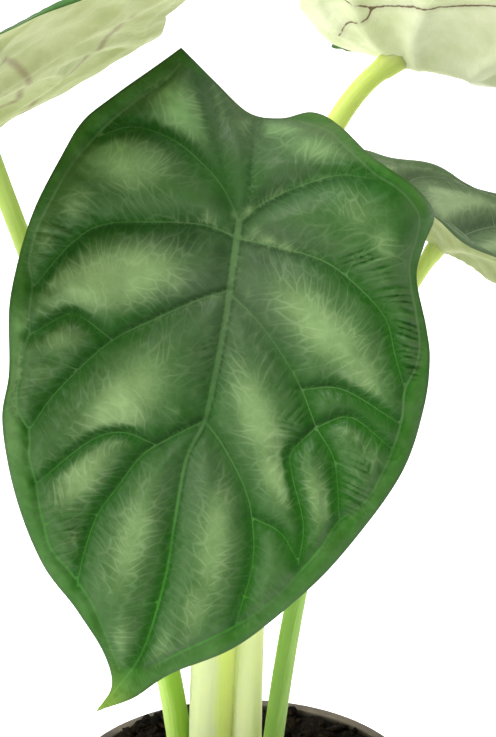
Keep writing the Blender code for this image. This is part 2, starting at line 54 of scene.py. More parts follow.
def linear(hexColour):
    # sRGB hex to the linear colour that a shader takes
    channels = [int(hexColour[at:at + 2], 16) / 255 for at in (1, 3, 5)]
    return (*[c / 12.92 if c <= 0.04045 else ((c + 0.055) / 1.055) ** 2.4 for c in channels], 1)


def addNode(tree, kind, sockets=(), out=0, **settings):
    # adds a node, sets or links its sockets, listed in order or by name, and returns one of its outputs
    node = tree.nodes.new("ShaderNode" + kind)
    for name, value in settings.items():
        setattr(node, name, value)
    for socket, value in sockets.items() if isinstance(sockets, dict) else enumerate(sockets):
        if isinstance(value, bpy.types.NodeSocket):
            tree.links.new(value, node.inputs[socket])
        else:
            node.inputs[socket].default_value = value
    return node.outputs[out]


def newMaterial(name, sockets):
    # gives the material, its shader, and addNode for its own tree
    material = bpy.data.materials.new(name)
    material.use_nodes = True
    shader = material.node_tree.nodes["Principled BSDF"]
    for socket, value in sockets.items():
        shader.inputs[socket].default_value = value
    return material, shader, partial(addNode, material.node_tree)


def finishMaterial(add, shader, colour, roughness, height, bumpDistance):
    normal = add("Bump", {"Height": height, "Distance": bumpDistance, "Strength": 1.0})
    for socket, value in (("Base Color", colour), ("Roughness", roughness), ("Normal", normal)):
        shader.id_data.links.new(value, shader.inputs[socket])


def addMesh(name, points, faces, materials, faceMaterials=None, fields=None, sharpAngle=None, cornerFields=None):
    mesh = bpy.data.meshes.new(name)
    mesh.from_pydata(np.asarray(points, float).tolist(), [], faces)
    for material in materials:
        mesh.materials.append(material)
    if faceMaterials is not None:
        mesh.polygons.foreach_set("material_index", faceMaterials)
    for domain, group in (("POINT", fields), ("CORNER", cornerFields)):
        for field, values in (group or {}).items():
            values = np.asarray(values, float)
            flat = values.ndim == 1
            layer = mesh.attributes.new(field, "FLOAT" if flat else "FLOAT_VECTOR", domain)
            layer.data.foreach_set("value" if flat else "vector", values.ravel())
    mesh.shade_smooth()
    if sharpAngle is not None:
        mesh.set_sharp_from_angle(angle=math.radians(sharpAngle))
    mesh.update()
    piece = bpy.data.objects.new(name, mesh)
    bpy.context.scene.collection.objects.link(piece)
    return piece


def place(piece, node):
    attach(piece, "root")
    if node:
        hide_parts(node)


def smooth(value, low, high):
    t = np.clip((value - low) / (high - low), 0, 1)
    return t * t * (3 - 2 * t)


# settings that many nodes share, noise and cell scales are per mm on the leaves and per metre elsewhere
eased = {"interpolation_type": "SMOOTHSTEP"}
colourMix = {"out": 2, "data_type": "RGBA"}

# Waxy leaf skin, upper side: a grey tint over the green tissue, partly the wax coat and partly painted sheen, gives a
# soft, broad, greyish shine, and the tissue between the veins is silvered in feathered patches.
upperLook = {
    # bloomAndSheen is a grey tint of painted sheen, crease the painted shade in creases, and deep shows where painted
    # shade holds the panel colour back
    "colours": {
        "deep": "#184d04", "panel": "#3a5c2c", "bloomAndSheen": "#425939", "silver": "#7c9862", "lobeSilver": "#7ba265",
        "net": "#a3bb88", "crease": "#0b2d02", "margin": "#2c600f", "marginPale": "#3d7026", "vein": "#3f7d2a",
        "jointVein": "#577947", "edge": "#284a18", "tip": "#7fa03c"},
    "strokeSize": (1.1, 6.5), "combSize": (3.0, 6.5), "netCell": 3.0, "netBend": 1.6, "grain": 0.35,  # mm
    "mottle": 6.25, "bend": 2.0, "waver": 10.0,  # the size of each noise's patches, mm
    "tufts": (0.28, 0.7),  # the tufts' scale next to the strokes', across and along
    "spikes": 3.0,  # how far the dark green runs out along the strokes, mm
    "shadedRoughness": 0.30, "bump": 0.00022,
    "spans": {  # each takes its first two numbers to its last two
        "stroke": (0.2, 0.8, -0.02, 0.02), "tuft": (0.2, 0.8, -0.14, 0.14), "trough": (-0.95, 0.1, 1.0, 0.0),
        "openPanel": (-0.5, 6.0, 0.0, 1.0), "mottled": (0.3, 0.6, 0.72, 1.1), "fringe": (0.02, 0.35, 0.0, 0.42),
        "silver": (0.10, 1.12, 0.0, 1.0), "patchy": (0.35, 0.62, 0.78, 1.0), "lobe": (4, 26, 0.0, 1.0),
        "crease": (0.0, 1.0, 0.0, 0.92), "netLine": (0.0, 0.16, 0.22, 0.0), "combLine": (0.0, 0.17, 0.62, 0.0),
        "lineReach": (0.02, 0.50, 0.05, 0.28), "outer": (0.0, 1.0, 0.0, 0.55), "pale": (0.36, 0.68, 0.0, 1.0),
        "vein": (0.5, 1.3, 0.62, 0.0), "faint": (0.4, 0.6, 0.5, 1.0), "joint": (55, 115, 1.0, 0.0),
        "edge": (0.3, 1.2, 0.6, 0.0), "roughness": (0.3, 0.7, 0.38, 0.48)},
}
# painted glare: the right leaf's upper skin is this skin in greyer tones all over, standing in for the glare of its
# shine
glareLook = dict(upperLook, colours={
    "deep": "#31442c", "panel": "#4c6042", "bloomAndSheen": "#55674d", "silver": "#869873", "lobeSilver": "#869873",
    "net": "#9eae8a", "crease": "#243420", "margin": "#43593a", "marginPale": "#4f6547", "vein": "#617552",
    "jointVein": "#74866a", "edge": "#3a4c30", "tip": "#7fa03c"})


def waxyUpperSkin(name, look):
    material, shader, add = newMaterial(name, {"IOR": 1.45, "Specular IOR Level": 0.18})
    tones = {part: linear(colour) for part, colour in look["colours"].items()}
    spans = look["spans"]
    flat, fibre = [add("Attribute", out=1, attribute_name=field) for field in ("flat", "fibre")]
    veinLine, veinGap, silver, bloomAndSheen, outer, marginGap, combed, shaded, tip, crease, ladder = [
        add("Attribute", out=2, attribute_name=field) for field in (
            "veinLine", "veinGap", "silver", "bloomAndSheen", "outer", "marginGap", "combed", "shaded", "tip", "crease",
            "ladder")]

    # strokes run away from the veins: narrow along the vein, long across the panel
    width, length = look["strokeSize"]
    strokeSpace = add("VectorMath", [fibre, (1 / width, 1 / length, 1)], operation="MULTIPLY")
    strokes = add("TexNoise", {"Vector": strokeSpace, "Scale": 1, "Detail": 3, "Roughness": 0.6})
    tuftWay = (look["tufts"][0] / width, look["tufts"][1] / length, 1)
    tuftSpace = add("VectorMath", [fibre, tuftWay], operation="MULTIPLY")
    tufts = add("TexNoise", {"Vector": tuftSpace, "Scale": 1, "Detail": 2})
    mottle = add("TexNoise", {"Vector": flat, "Scale": 1 / look["mottle"], "Detail": 4, "Roughness": 0.6})
    strokeShift = add("MapRange", [strokes, *spans["stroke"]])
    tuftShift = add("MapRange", [tufts, *spans["tuft"]])
    frayed = add("Math", [strokeShift, tuftShift], operation="ADD")
    frayed = add("Math", [frayed, combed], operation="MULTIPLY")

    # cross ribs between the side veins: painted shade darkens their troughs, as in the relief
    step, sway = bladeSizes["corrugationStep"], bladeSizes["corrugationSway"]
    ribAlong = add("SeparateXYZ", [fibre])
    ribSide = add("SeparateXYZ", [fibre], out=2)
    slow = add("Math", [ribAlong, math.tau / (bladeSizes["swaySteps"] * step), ribSide], operation="MULTIPLY_ADD")
    slow = add("Math", [slow], operation="SINE")
    beat = add("Math", [ribAlong, math.tau / step], operation="MULTIPLY")
    beat = add("Math", [slow, sway, beat], operation="MULTIPLY_ADD")
    beat = add("Math", [beat], operation="SINE")
    trough = add("MapRange", [beat, *spans["trough"]], **eased)
    trough = add("Math", [trough, ladder], operation="MULTIPLY")
    shaded = add("Math", [shaded, trough], operation="MAXIMUM")

    # green tissue: darkest beside the veins, in short combed spikes, and held back by painted shade where shaded is
    # high
    spiked = add("Math", [frayed, look["spikes"], veinGap], operation="MULTIPLY_ADD")
    openPanel = add("MapRange", [spiked, *spans["openPanel"]], **eased)
    mottled = add("MapRange", [mottle, *spans["mottled"]])
    panelShare = add("Math", [openPanel, mottled], operation="MULTIPLY")
    panelShare = add("Math", [panelShare, shaded], operation="SUBTRACT", use_clamp=True)

    # silver patches with a frayed border, greener on the lobes; the silver field also carries painted highlights and
    # glints
    fringe = add("MapRange", [silver, *spans["fringe"]])
    silverSpread = add("Math", [frayed, fringe, silver], operation="MULTIPLY_ADD")
    silverShare = add("MapRange", [silverSpread, *spans["silver"]], **eased)
    patchy = add("MapRange", [mottle, *spans["patchy"]])
    silverShare = add("Math", [silverShare, patchy], operation="MULTIPLY")
    flatUp = add("SeparateXYZ", [flat], out=1)
    lobeShare = add("MapRange", [flatUp, *spans["lobe"]], **eased)
    # painted shade: crease takes the darkest green into the creases
    creaseShare = add("MapRange", [crease, *spans["crease"]])

    # fine net of the smallest veins and threads combed across, both drawn coarser than life so that they show
    bend = add("TexNoise", {"Vector": flat, "Scale": 1 / look["bend"], "Detail": 2}, out=1)
    netSpace = add("VectorMath", [bend, (look["netBend"], look["netBend"], 0), flat], operation="MULTIPLY_ADD")
    width, length = look["combSize"]
    combShift = add("CombineXYZ", [ribSide, ribSide])
    combSpace = add("VectorMath", [fibre, (1 / width, 1 / length, 0), combShift], operation="MULTIPLY_ADD")
    waver = add("TexNoise", {"Vector": flat, "Scale": 1 / look["waver"], "Detail": 1}, out=1)
    combSpace = add("VectorMath", [waver, (1.6, 1.0, 0), combSpace], operation="MULTIPLY_ADD")
    net, comb = [
        add("TexVoronoi", {"Vector": space, "Scale": scale}, feature="DISTANCE_TO_EDGE", voronoi_dimensions="2D")
        for space, scale in ((netSpace, 1 / look["netCell"]), (combSpace, 1))]
    netLine = add("MapRange", [net, *spans["netLine"]], **eased)
    combLine = add("MapRange", [comb, *spans["combLine"]], **eased)
    combLine = add("Math", [combLine, combed], operation="MULTIPLY")
    lines = add("Math", [netLine, combLine], operation="MAXIMUM")
    lineReach = add("MapRange", [silverSpread, *spans["lineReach"]])
    lineShare = add("Math", [lines, lineReach], operation="MULTIPLY")

    # the band outside the edge vein, the veins themselves, paler near the joint, and the thin dark edge, painted shade
    # where the margin turns away
    outerShare = add("MapRange", [outer, *spans["outer"]])
    paleShare = add("MapRange", [mottle, *spans["pale"]], **eased)
    faint = add("TexNoise", {"Vector": flat, "Scale": 0.045, "Detail": 1})  # veins fade in and out over 22 mm
    faintShare = add("MapRange", [faint, *spans["faint"]])
    veinShare = add("MapRange", [veinLine, *spans["vein"]], **eased)
    veinShare = add("Math", [veinShare, faintShare], operation="MULTIPLY")
    fromJoint = add("VectorMath", [flat], out=1, operation="LENGTH")
    jointShare = add("MapRange", [fromJoint, *spans["joint"]], **eased)
    edgeShare = add("MapRange", [marginGap, *spans["edge"]], **eased)

    silverTone, marginTone, veinTone = [
        add("Mix", {0: share, 6: tones[low], 7: tones[high]}, **colourMix)
        for share, low, high in ((lobeShare, "silver", "lobeSilver"), (paleShare, "margin", "marginPale"),
                                 (jointShare, "vein", "jointVein"))]
    skin = tones["deep"]
    # painted sheen (bloomAndSheen) and painted shade in the creases go in with the tissue's own colours
    for share, tone in (
            (panelShare, tones["panel"]), (bloomAndSheen, tones["bloomAndSheen"]), (silverShare, silverTone),
            (creaseShare, tones["crease"]), (lineShare, tones["net"]), (outerShare, marginTone),
            (veinShare, veinTone), (edgeShare, tones["edge"]), (tip, tones["tip"])):
        skin = add("Mix", {0: share, 6: skin, 7: tone}, **colourMix)

    # the net and the threads are sunk, the strokes raised, and the skin has a fine cell grain
    grain = add("TexNoise", {"Vector": flat, "Scale": 1 / look["grain"], "Detail": 2})
    ridges = add("Math", [strokes, combed], operation="MULTIPLY")
    relief = 0.8
    for layer, height in ((lines, -0.35), (ridges, 0.12), (grain, 0.22)):
        relief = add("Math", [layer, height, relief], operation="MULTIPLY_ADD")
    roughness = add("MapRange", [mottle, *spans["roughness"]])
    roughness = add("Math", [shaded, look["shadedRoughness"], roughness], operation="MULTIPLY_ADD")
    finishMaterial(add, shader, skin, roughness, relief, look["bump"])
    return material


# Matt leaf skin, underside: no wax, so it is pale, soft and nearly without shine, with the veins standing out
underLook = {
    # the stain is how wide a stained vein is, solid and with its soft edge, and how strong
    "front": {"base": "#b4c486", "shade": "#94aa66", "rib": "#c6d096", "mark": "#9aab6a", "stain": (0.3, 0.9, 0.5)},
    "upper_left": {
        "base": "#b3ba88", "shade": "#9fa870", "rib": "#b9c08c", "mark": "#85775a", "stain": (0.3, 2.4, 0.6)},
    # painted light: the upper right underside is paler still, standing in for light coming through the blade
    "upper_right": {
        "base": "#e9edc9", "shade": "#d3dbaa", "rib": "#eef2d4", "mark": "#5f4020", "stain": (0.36, 0.78, 0.9)},
    "right": {"base": "#98a26c", "shade": "#848f56", "rib": "#a4ae7a", "mark": "#8f9a68", "stain": (0.3, 0.9, 0.5)},
    "spans": {
        "shade": (0.35, 0.68, 0.0, 1.0), "netLine": (0.01, 0.10, 0.16, 0.0), "rib": (0.4, 2.2, 0.32, 0.0),
        "halo": (0.5, 3.0, 0.16, 0.0), "roughness": (0.3, 0.7, 0.52, 0.66)},
    "bump": 0.00010,
}


def mattUnderSkin(name, look):
    material, shader, add = newMaterial(name, {"IOR": 1.40, "Specular IOR Level": 0.35})
    spans = underLook["spans"]
    flat = add("Attribute", out=1, attribute_name="flat")
    veinLine, mark = [add("Attribute", out=2, attribute_name=field) for field in ("veinLine", "mark")]
    mottle = add("TexNoise", {"Vector": flat, "Scale": 0.055, "Detail": 4, "Roughness": 0.55})  # 18 mm patches
    shadeShare = add("MapRange", [mottle, *spans["shade"]], **eased)
    # faint net of small veins, about 3 mm across
    bend = add("TexNoise", {"Vector": flat, "Scale": 0.4, "Detail": 2}, out=1)
    netSpace = add("VectorMath", [bend, (2.4, 2.4, 0), flat], operation="MULTIPLY_ADD")
    net = add("TexVoronoi", {"Vector": netSpace, "Scale": 0.34}, feature="DISTANCE_TO_EDGE", voronoi_dimensions="2D")
    netLine = add("MapRange", [net, *spans["netLine"]], **eased)
    ribShare = add("MapRange", [veinLine, *spans["rib"]], **eased)
    # stained veins, with a soft halo
    stainNoise = add("TexNoise", {"Vector": flat, "Scale": 0.8, "Detail": 2})
    stainEdge = add("Math", [stainNoise, 0.5, mark], operation="MULTIPLY_ADD")
    halo = add("MapRange", [stainEdge, *spans["halo"]], **eased)
    stain = add("MapRange", [stainEdge, *look["stain"], 0.0], **eased)
    skin = linear(look["base"])
    for share, part in ((shadeShare, "shade"), (netLine, "shade"), (ribShare, "rib"), (halo, "mark"), (stain, "mark")):
        skin = add("Mix", {0: share, 6: skin, 7: linear(look[part])}, **colourMix)
    grain = add("TexNoise", {"Vector": flat, "Scale": 2.2, "Detail": 2})  # cells of 0.45 mm
    relief = add("Math", [netLine, 1.5, grain], operation="MULTIPLY_ADD")
    roughness = add("MapRange", [mottle, *spans["roughness"]])
    finishMaterial(add, shader, skin, roughness, relief, underLook["bump"])
    return material


# Leaf blades

bladeSizes = {  # mm
    "thickness": 0.80, "edgeThickness": 0.36, "edgeRound": 0.16,
    "edgeEase": 3.5, "ribEase": 4,  # how far in from the margin the skin and the ribs come to full thickness
    "frontSpacing": 0.92, "backSpacing": 1.35, "lineStep": 1.0,
    "veinCrowding": 0.62, "fillCrowding": 0.68, "jitter": 0.12,  # parts of the spacing
    "veinDepth": {1: 4.2, 2: 2.6, 3: 1.3}, "veinReach": {1: 7.0, 2: 5.0, 3: 3.4},
    "depthLoss": 0.65, "reachLoss": 0.35, "valleyPower": 1.25, "valleyBlend": 6,
    "veinHalf": {1: 0.60, 2: 0.46, 3: 0.36}, "midribHalf": 1.10, "edgeVeinHalf": 0.42,
    "halfLoss": 0.55, "midribLoss": 0.35, "backHalf": 0.75, "cordHeight": 0.42, "lateralFaint": 0.55,
    "ribThickness": {1: 1.3, 2: 0.6, 3: 0.2}, "ribReach": 2.2, "ribLoss": 0.8,
    "sideDroop": 0.0011, "lobeDroop": 0.0032, "tipDroop": 0.0002,
    "waveHeight": 0.9, "waveCount": 15, "waveReach": 6,
    "rollEverywhere": 1.2, "rollWidth": 9,
    "foldSoftness": 10, "archLength": 150, "backRelief": 0.65,
    "edgeVeinDepth": 1.0, "edgeVeinReach": 1.7,
    # painted shade: a dark green band on the side of a vein turned from the light, with a crease in it, and a painted
    # highlight, a paler strip, on the other side
    "shadeWay": (-0.45, 0.89), "shadeReach": {1: 3.6, 2: 2.4}, "shadeLimit": 12, "shadeFade": 0.45,
    "creaseReach": 1.7, "fibreSlant": 0.55, "highlightReach": 2.4, "highlightStrength": 0.42, "highlightRadius": 38,
    "grooveReach": 2.8, "grooveStrength": 0.95, "hairlineReach": 0.7, "hairlineStrength": 0.75,  # painted shade in the groove and a dark hairline beside the midrib
    "blister": 1.3, "corrugation": 0.30, "corrugationStep": 2.4, "corrugationSway": 1.6, "swaySteps": 3.3,
    "ladderBase": 0.35, "backLadder": 0.3, "ladderPatch": 10, "ladderVariation": 0.6,
    "lumpHeight": 0.40, "lumpSize": 13, "puckerHeight": 0.20, "puckerSize": 4.2, "tipLength": 9,
    "tipStrength": 0.8, "midribEase": (0.3, 0.5), "sideFade": (32, 58),
}

frontLeaf = {
    "rightMargin": [
        (-17.5, 53), (-7.5, 43), (2.5, 34), (12.5, 32.5), (22.5, 35), (31, 31), (41, 19.5), (53.5, 10.5),
        (59, 2.5), (56, -6.5), (53.5, -16.5), (56.5, -31.5), (57.5, -42), (55.5, -57), (49.5, -74.5),
        (36.5, -93.5), (21.5, -110), (0.5, -127), (-21, -136.5), (-32, -143.5), (-43, -147.5)],
    "leftMargin": [
        (-43, -147.5), (-38.5, -140), (-41, -129.5), (-49, -117), (-59.5, -103), (-68, -81), (-71.5, -60),
        (-69.5, -45.5), (-69, -23.5), (-63.5, -1), (-54, 19), (-47.5, 30), (-38.5, 37.5), (-17.5, 53)],
    "growth": 1.012,
    "veins": [  # rank, then the points that the vein runs through
        (1, [(0, 0), (-2, -14.5), (-4, -29), (-7, -45), (-10.5, -60.5), (-16, -72), (-19.5, -90.5),
             (-22.5, -108.5), (-29.5, -131), (-39, -144.5)]),
        (1, [(0, 0), (-5, 10.5), (-12.5, 19), (-21, 25.5), (-32.5, 29), (-43, 26)]),
        (1, [(0, 0), (7, 5.5), (17.5, 10.5), (30, 14.2), (40, 13.2)]),
        (1, [(0, -5), (-10.5, -1), (-25.5, 0), (-42, -1), (-52, -7.5), (-62, -19)]),
        (1, [(0, -5), (11, -7.5), (23.5, -11), (32.5, -16.5), (44, -28.5), (47.5, -41), (50.5, -51)]),
        (1, [(-3.5, -21), (-13, -24), (-26.5, -30), (-38.5, -36), (-49, -45), (-57.5, -54), (-64, -63.5)]),
        (1, [(-3.5, -21), (5, -29.5), (12.5, -39.5), (19, -51), (23.5, -62.5), (29, -73), (30.5, -91)]),
        (1, [(-10.5, -60.5), (-20.5, -65.5), (-29.5, -71), (-36.5, -80), (-43, -89), (-47, -100),
             (-49.5, -111)]),
        (1, [(-10.5, -60.5), (-5, -68), (1.5, -80.5), (4, -91), (4, -104.5), (-1, -122.5)]),
        (2, [(-2, 5.5), (-5.5, 22), (-11, 42)]),
        (2, [(3, 3.5), (4.5, 19), (5.5, 31)]),
        (2, [(-25, -68), (-35.5, -64), (-46, -67), (-61.5, -79.5)]),
        (2, [(19, -51), (31.5, -51), (49, -61.5)]),
        (2, [(23.5, -62.5), (34, -59.5), (47, -69.5)]),
        (2, [(23.5, -62.5), (16, -70), (16, -76.5), (19.5, -92), (18, -104)]),
        (2, [(4, -90), (12.5, -94.5), (17.5, -102.5)]),
        (2, [(-38.5, -36), (-47, -29.5), (-52, -28), (-64, -34.5)]),
        (3, [(-49, -45), (-59, -41.5), (-66, -42)]),
        (3, [(-43, -89), (-53.5, -89), (-59, -92.5)]),
        (3, [(-24.5, -115.5), (-35.5, -118), (-40.5, -122)]),
        (3, [(32.5, -16.5), (35, -12), (43.5, -3)]),
        (3, [(16, -45.5), (30.5, -42.5)]),
        (3, [(29, -73), (40.5, -78)]),
        (3, [(4, -104.5), (12, -110.5)]),
        (3, [(1, -113.5), (7.5, -116.5)])],
    "quietVeins": (9, 10),  # folds rather than veins, so they have no cord
    "shadeBelow": (2, 3, 4, 17),  # the veins whose painted shade lies on the lower side
    "edgeVein": [
        [(-36.5, -136.5), (-40.5, -126.5), (-44, -118), (-48, -111.5), (-52.5, -105.5), (-57.5, -99.5),
         (-59.5, -92.5), (-61, -86), (-62, -79.5), (-64, -71.5), (-64, -64), (-67.5, -57.5), (-68, -52.5),
         (-67, -46.5), (-66, -39.5), (-64, -34), (-64, -27.5), (-63, -19), (-64, -12), (-61.5, -2),
         (-56.5, 8), (-51, 17.5), (-46.5, 23), (-42, 28), (-36.5, 33), (-30, 38), (-22.5, 43.5), (-18, 48.5)],
        [(18.5, 32), (27.5, 29), (34, 22), (41, 15), (48, 10.5), (52.5, 6), (55, 1), (54, -5.5), (52, -12),
         (52.5, -20.5), (54, -28), (55, -37.5), (53.5, -45), (50.5, -51), (49.5, -60), (47, -68.5),
         (43.5, -76.5), (38.5, -85), (30.5, -91), (25, -99), (18.5, -106.5), (11, -114.5), (2.5, -121),
         (-8, -126.5), (-18.5, -131.5), (-27, -136)]],
    "rolls": [  # where the margin rolls back: x, y, radius and amount
        (20, 34, 16, 7.0), (57, 3, 15, 7.5), (55, -38, 22, 3.0), (-62, -60, 45, 2.2), (10, -120, 45, 2.0)],
    "turnedStrip": [(-5.5, 14), (-6.5, 24), (-9, 36), (-13, 45), (-18, 53.5)],  # the left lobe folds back past it
    "turnedStart": 18, "turnedEase": 14, "turnedSlope": 0.75,
    "silver": [  # x, y, half length, half width, turn in degrees and strength
        (-8, 37, 12, 3.2, 105, 0.50), (10, 29, 12, 3.5, 175, 0.62), (-18.5, 35, 13, 7.5, 128, 0.86),
        (-34.5, 18, 14, 8.5, 172, 0.94), (-49, 6, 7, 4.5, 60, 0.55),
        (-38, -17, 20, 9.0, 14, 1.3), (-56, -24, 8, 6, 50, 0.55), (-36, -56, 19, 9.0, 50, 1.0),
        (-54, -35.5, 9, 4.5, 15, 0.62), (-61, -46, 6, 4, 10, 0.35), (-66, -33, 8, 4, 90, 0.8),
        (-68, -46, 12, 4, 85, 0.7), (-70, -64, 12, 4, 95, 0.7), (-60, -4, 8, 4, 110, 0.4),
        (-48, -77, 13, 6.5, 48, 0.85), (-57, -74, 6, 4, 50, 0.3), (-50, -96, 6, 4.5, 60, 0.35),
        (-32.5, -97, 19, 6.5, 72, 0.72), (-36, -127, 8, 4, 70, 0.45),
        (-7.5, -97, 19, 5.8, 84, 0.74), (-13, -118, 12, 5, 70, 0.55), (-24, -129, 8, 4, 60, 0.40),
        (6, -60, 18, 6.5, 112, 0.86), (11.5, -77, 11.5, 5.4, 114, 0.84), (24, -84, 12, 5.0, 108, 0.60),
        (25, -32, 20, 7.8, 136, 0.90), (36.5, -45, 11, 5.8, 127, 0.74), (33, -63, 9, 5, 160, 0.35),
        (25, -1, 16, 7, 174, 0.14), (36, 3, 10, 7, 150, 0.44), (22, 23, 12, 5, 170, 0.58),
        (44, -6, 8, 5, 120, 0.45), (40, -72, 7, 6, 130, 0.30)],
    "ladders": [  # where the corrugation is strong: x, y, radius and strength
        (50, -23, 6, 1.6), (52, -34, 6, 2.0), (53.5, -44, 5, 1.8), (41, -9, 6, 1.6),
        (39, -75, 8, 1.1), (35, -86, 6, 1.1), (-54, -1, 12, 0.7), (46, -4, 10, 1.5),
        (-54, -92, 10, 1.2), (-8, -40, 10, 0.9), (16, -60, 10, 1.0)],
    "paintedSheenSpots": [  # painted sheen, a greyer tint: x, y, radius and strength
        (0, -30, 22, 0.75), (8, -8, 16, 0.6), (-17, -16, 10, 0.5), (-12, -78, 14, 0.5), (14, 26, 16, 0.7),
        (-8, 40, 8, 0.9), (-2, 28, 9, 0.7)],
    "paintedShadeSpots": [  # painted shade, in deeper green: x, y, radius and strength
        (-15, -5, 7, 0.8), (-16, -31, 7, 0.6), (-11, 44, 2.5, 1.0), (-9.5, 39, 2.5, 1.0), (-8, 33, 2.5, 0.8),
        (3.5, 22, 5.5, 0.9), (4.5, 12.5, 4.5, 0.8), (5.5, 29, 4, 0.6), (46, 12, 10, 0.8), (38, 26, 8, 0.5),
        (-12, -52, 8, 0.3), (-36, -31, 4.5, 0.7), (-30, -28.5, 3.5, 0.6), (-16.5, -58.5, 4, 0.8),
        (-24, -63.5, 3.5, 0.7), (-58, -97, 5, 0.5), (30, 9, 6, 0.3), (52, -3, 5, 0.5), (-2, -30, 6, 0.35),
        (10, -38, 6, 0.3)],
    "hollowShadeSpots": [  # painted shade in hollows: x, y, radius and strength
        (-15, -3.5, 6.5, 0.72), (-25, -4.5, 4, 0.35), (-5, -9, 3.5, 0.5), (-7, -17, 3.5, 0.4), (5, -12, 4, 0.35),
        (-14, -24.5, 4, 0.35), (6, 6.5, 3.5, 0.5), (14, 8, 4, 0.35), (-4.5, 6, 3, 0.4)],
    # painted highlights: x, y, radius and strength
    "glints": [(-9.5, 1.6, 2.6, 0.42), (5, -2.6, 2.2, 0.34), (3, 3.4, 1.6, 0.4), (-1.5, 2.5, 1.2, 0.3),
               (9, -5.8, 2.6, 0.45), (14, -8.2, 2.2, 0.30), (-19, -19.5, 2.6, 0.26), (2.4, -21.5, 1.8, 0.3),
               (-19, -57.5, 1.8, 0.3), (-5.8, -61.5, 1.6, 0.3), (1.5, -29, 1.5, 0.25)],
    "marks": [],
}

backLeaf = {  # the other blades share one form, in parts of the length from the stalk to the tip
    "margin": [
        (0, 0.20), (0.06, 0.29), (0.15, 0.38), (0.26, 0.33), (0.36, 0.20), (0.42, 0.02), (0.445, -0.18),
        (0.43, -0.36), (0.36, -0.56), (0.24, -0.75), (0.10, -0.91), (0.03, -0.97), (0, -1)],
    "midrib": [(0, 0), (0, -0.35), (0, -0.7), (0, -0.97)],
    "veins": [
        (1, [(0, 0), (0.06, 0.10), (0.16, 0.17), (0.27, 0.16), (0.36, 0.05)]),
        (1, [(0, -0.02), (0.12, -0.03), (0.25, -0.08), (0.35, -0.18), (0.40, -0.30)]),
        (1, [(0, -0.14), (0.10, -0.20), (0.20, -0.29), (0.29, -0.40), (0.35, -0.50)]),
        (1, [(0, -0.36), (0.08, -0.42), (0.16, -0.52), (0.22, -0.63), (0.24, -0.72)]),
        (2, [(0, -0.58), (0.06, -0.63), (0.11, -0.72), (0.13, -0.82)]),
        (2, [(0.02, 0.04), (0.07, 0.18), (0.12, 0.31)]),
        (2, [(0.20, -0.29), (0.28, -0.28), (0.36, -0.34)]),
        (2, [(0.16, -0.52), (0.24, -0.51), (0.31, -0.58)]),
        (3, [(0.25, -0.08), (0.31, -0.02), (0.37, 0.01)]),
        (3, [(0, -0.76), (0.04, -0.81), (0.06, -0.88)])],
    "lobeBreadth": 0.42,
    "rolls": [(60, 15, 20, 3.5), (-60, -30, 26, 3.0)],
    "edgeVeinAt": 0.035,  # part of the length in from the margin
    # bloomAndSheen: an even grey tint, partly the wax coat and partly painted sheen
    "silver": (0.8, 3.5, 10.0), "bloomAndSheen": 0.3,  # strength, and how far from a vein it starts and is full, mm
    "marks": {
        "upper_left": [
            [(-54.5, 44.6), (-40.4, 46.1), (-36.3, 51.9), (-24, 53.8), (-10.8, 53.4), (-0.6, 55.6), (11.5, 55.5)],
            [(30.5, -2.3), (8.6, 14.8), (-7, 23.9), (-32.4, 35.1), (-38.8, 31)]],
        "upper_right": [
            [(-29, 24), (-28.1, 17), (-24.8, 10.1), (-25.5, 4), (-30, -6), (-32.9, -13.8), (-34.5, -25.4),
             (-36.8, -32.6), (-40, -46), (-42, -60)],
            [(-24.8, 10.1), (-21, 11.9), (-18.9, 16.1), (-16.1, 19.9), (-12.1, 22)]],
        "right": [],
    },
}

tilt = math.radians(25)  # the viewer looks down by this
sideways = Vector((1, 0, 0))
upwards = Vector((0, math.sin(tilt), math.cos(tilt)))
outwards = Vector((0, -math.cos(tilt), math.sin(tilt)))

leaves = {  # as packed: joint, ways to the lobes and of the upper side, size, bend, and the stalk
    "front": {
        "joint": (-0.0007, -0.058, 0.338), "lobes": (0, 1, 0), "faces": (0, 0, 1), "fold": 0, "arch": 1,
        "foot": (-0.0119, -0.0020), "footWidth": 0.0124, "footDepth": 0.0100, "top": 0.0056,
        "leave": (0, 0.012, 0.100), "arrive": (0, 0.034, -0.052)},
    "upper_left": {
        "joint": (-0.0813, -0.0517, 0.3755), "lobes": (0.69, 0.49, -0.54), "faces": (-0.60, 0.80, -0.05),
        "length": 171, "width": 1.02, "lobe": 0.70, "notch": 0.40, "fold": 5, "arch": -23, "wave": 0.3,
        "foot": (-0.0194, 0.0052), "footWidth": 0.0084, "footDepth": 0.0080, "top": 0.0060,
        "leave": (-0.006, -0.004, 0.095), "arrive": (0.020, 0.014, -0.080)},
    "upper_right": {
        "joint": (0.0552, 0.058, 0.348), "lobes": (-0.90, 0.22, -0.34), "faces": (0.30, 0.94, -0.10),
        "length": 166, "width": 0.91, "lobe": 0.54, "notch": 0, "fold": 38, "arch": 14,
        "foot": (-0.0002, 0.0030), "footWidth": 0.0134, "footDepth": 0.0100, "top": 0.0068,
        "leave": (0, 0.010, 0.150), "arrive": (-0.040, -0.010, -0.010)},
    "right": {
        "joint": (0.0654, 0.0085, 0.3049), "lobes": (-0.83, 0.54, -0.14), "faces": (0.48, 0.82, 0.30),
        "length": 123, "width": 0.79, "lobe": 1.00, "notch": 0, "fold": 30, "arch": -16,
        "foot": (0.0080, -0.0034), "footWidth": 0.0068, "footDepth": 0.0072, "top": 0.0050,
        "leave": (0.0080, 0.002, 0.085), "arrive": (-0.036, -0.004, -0.050)},
}


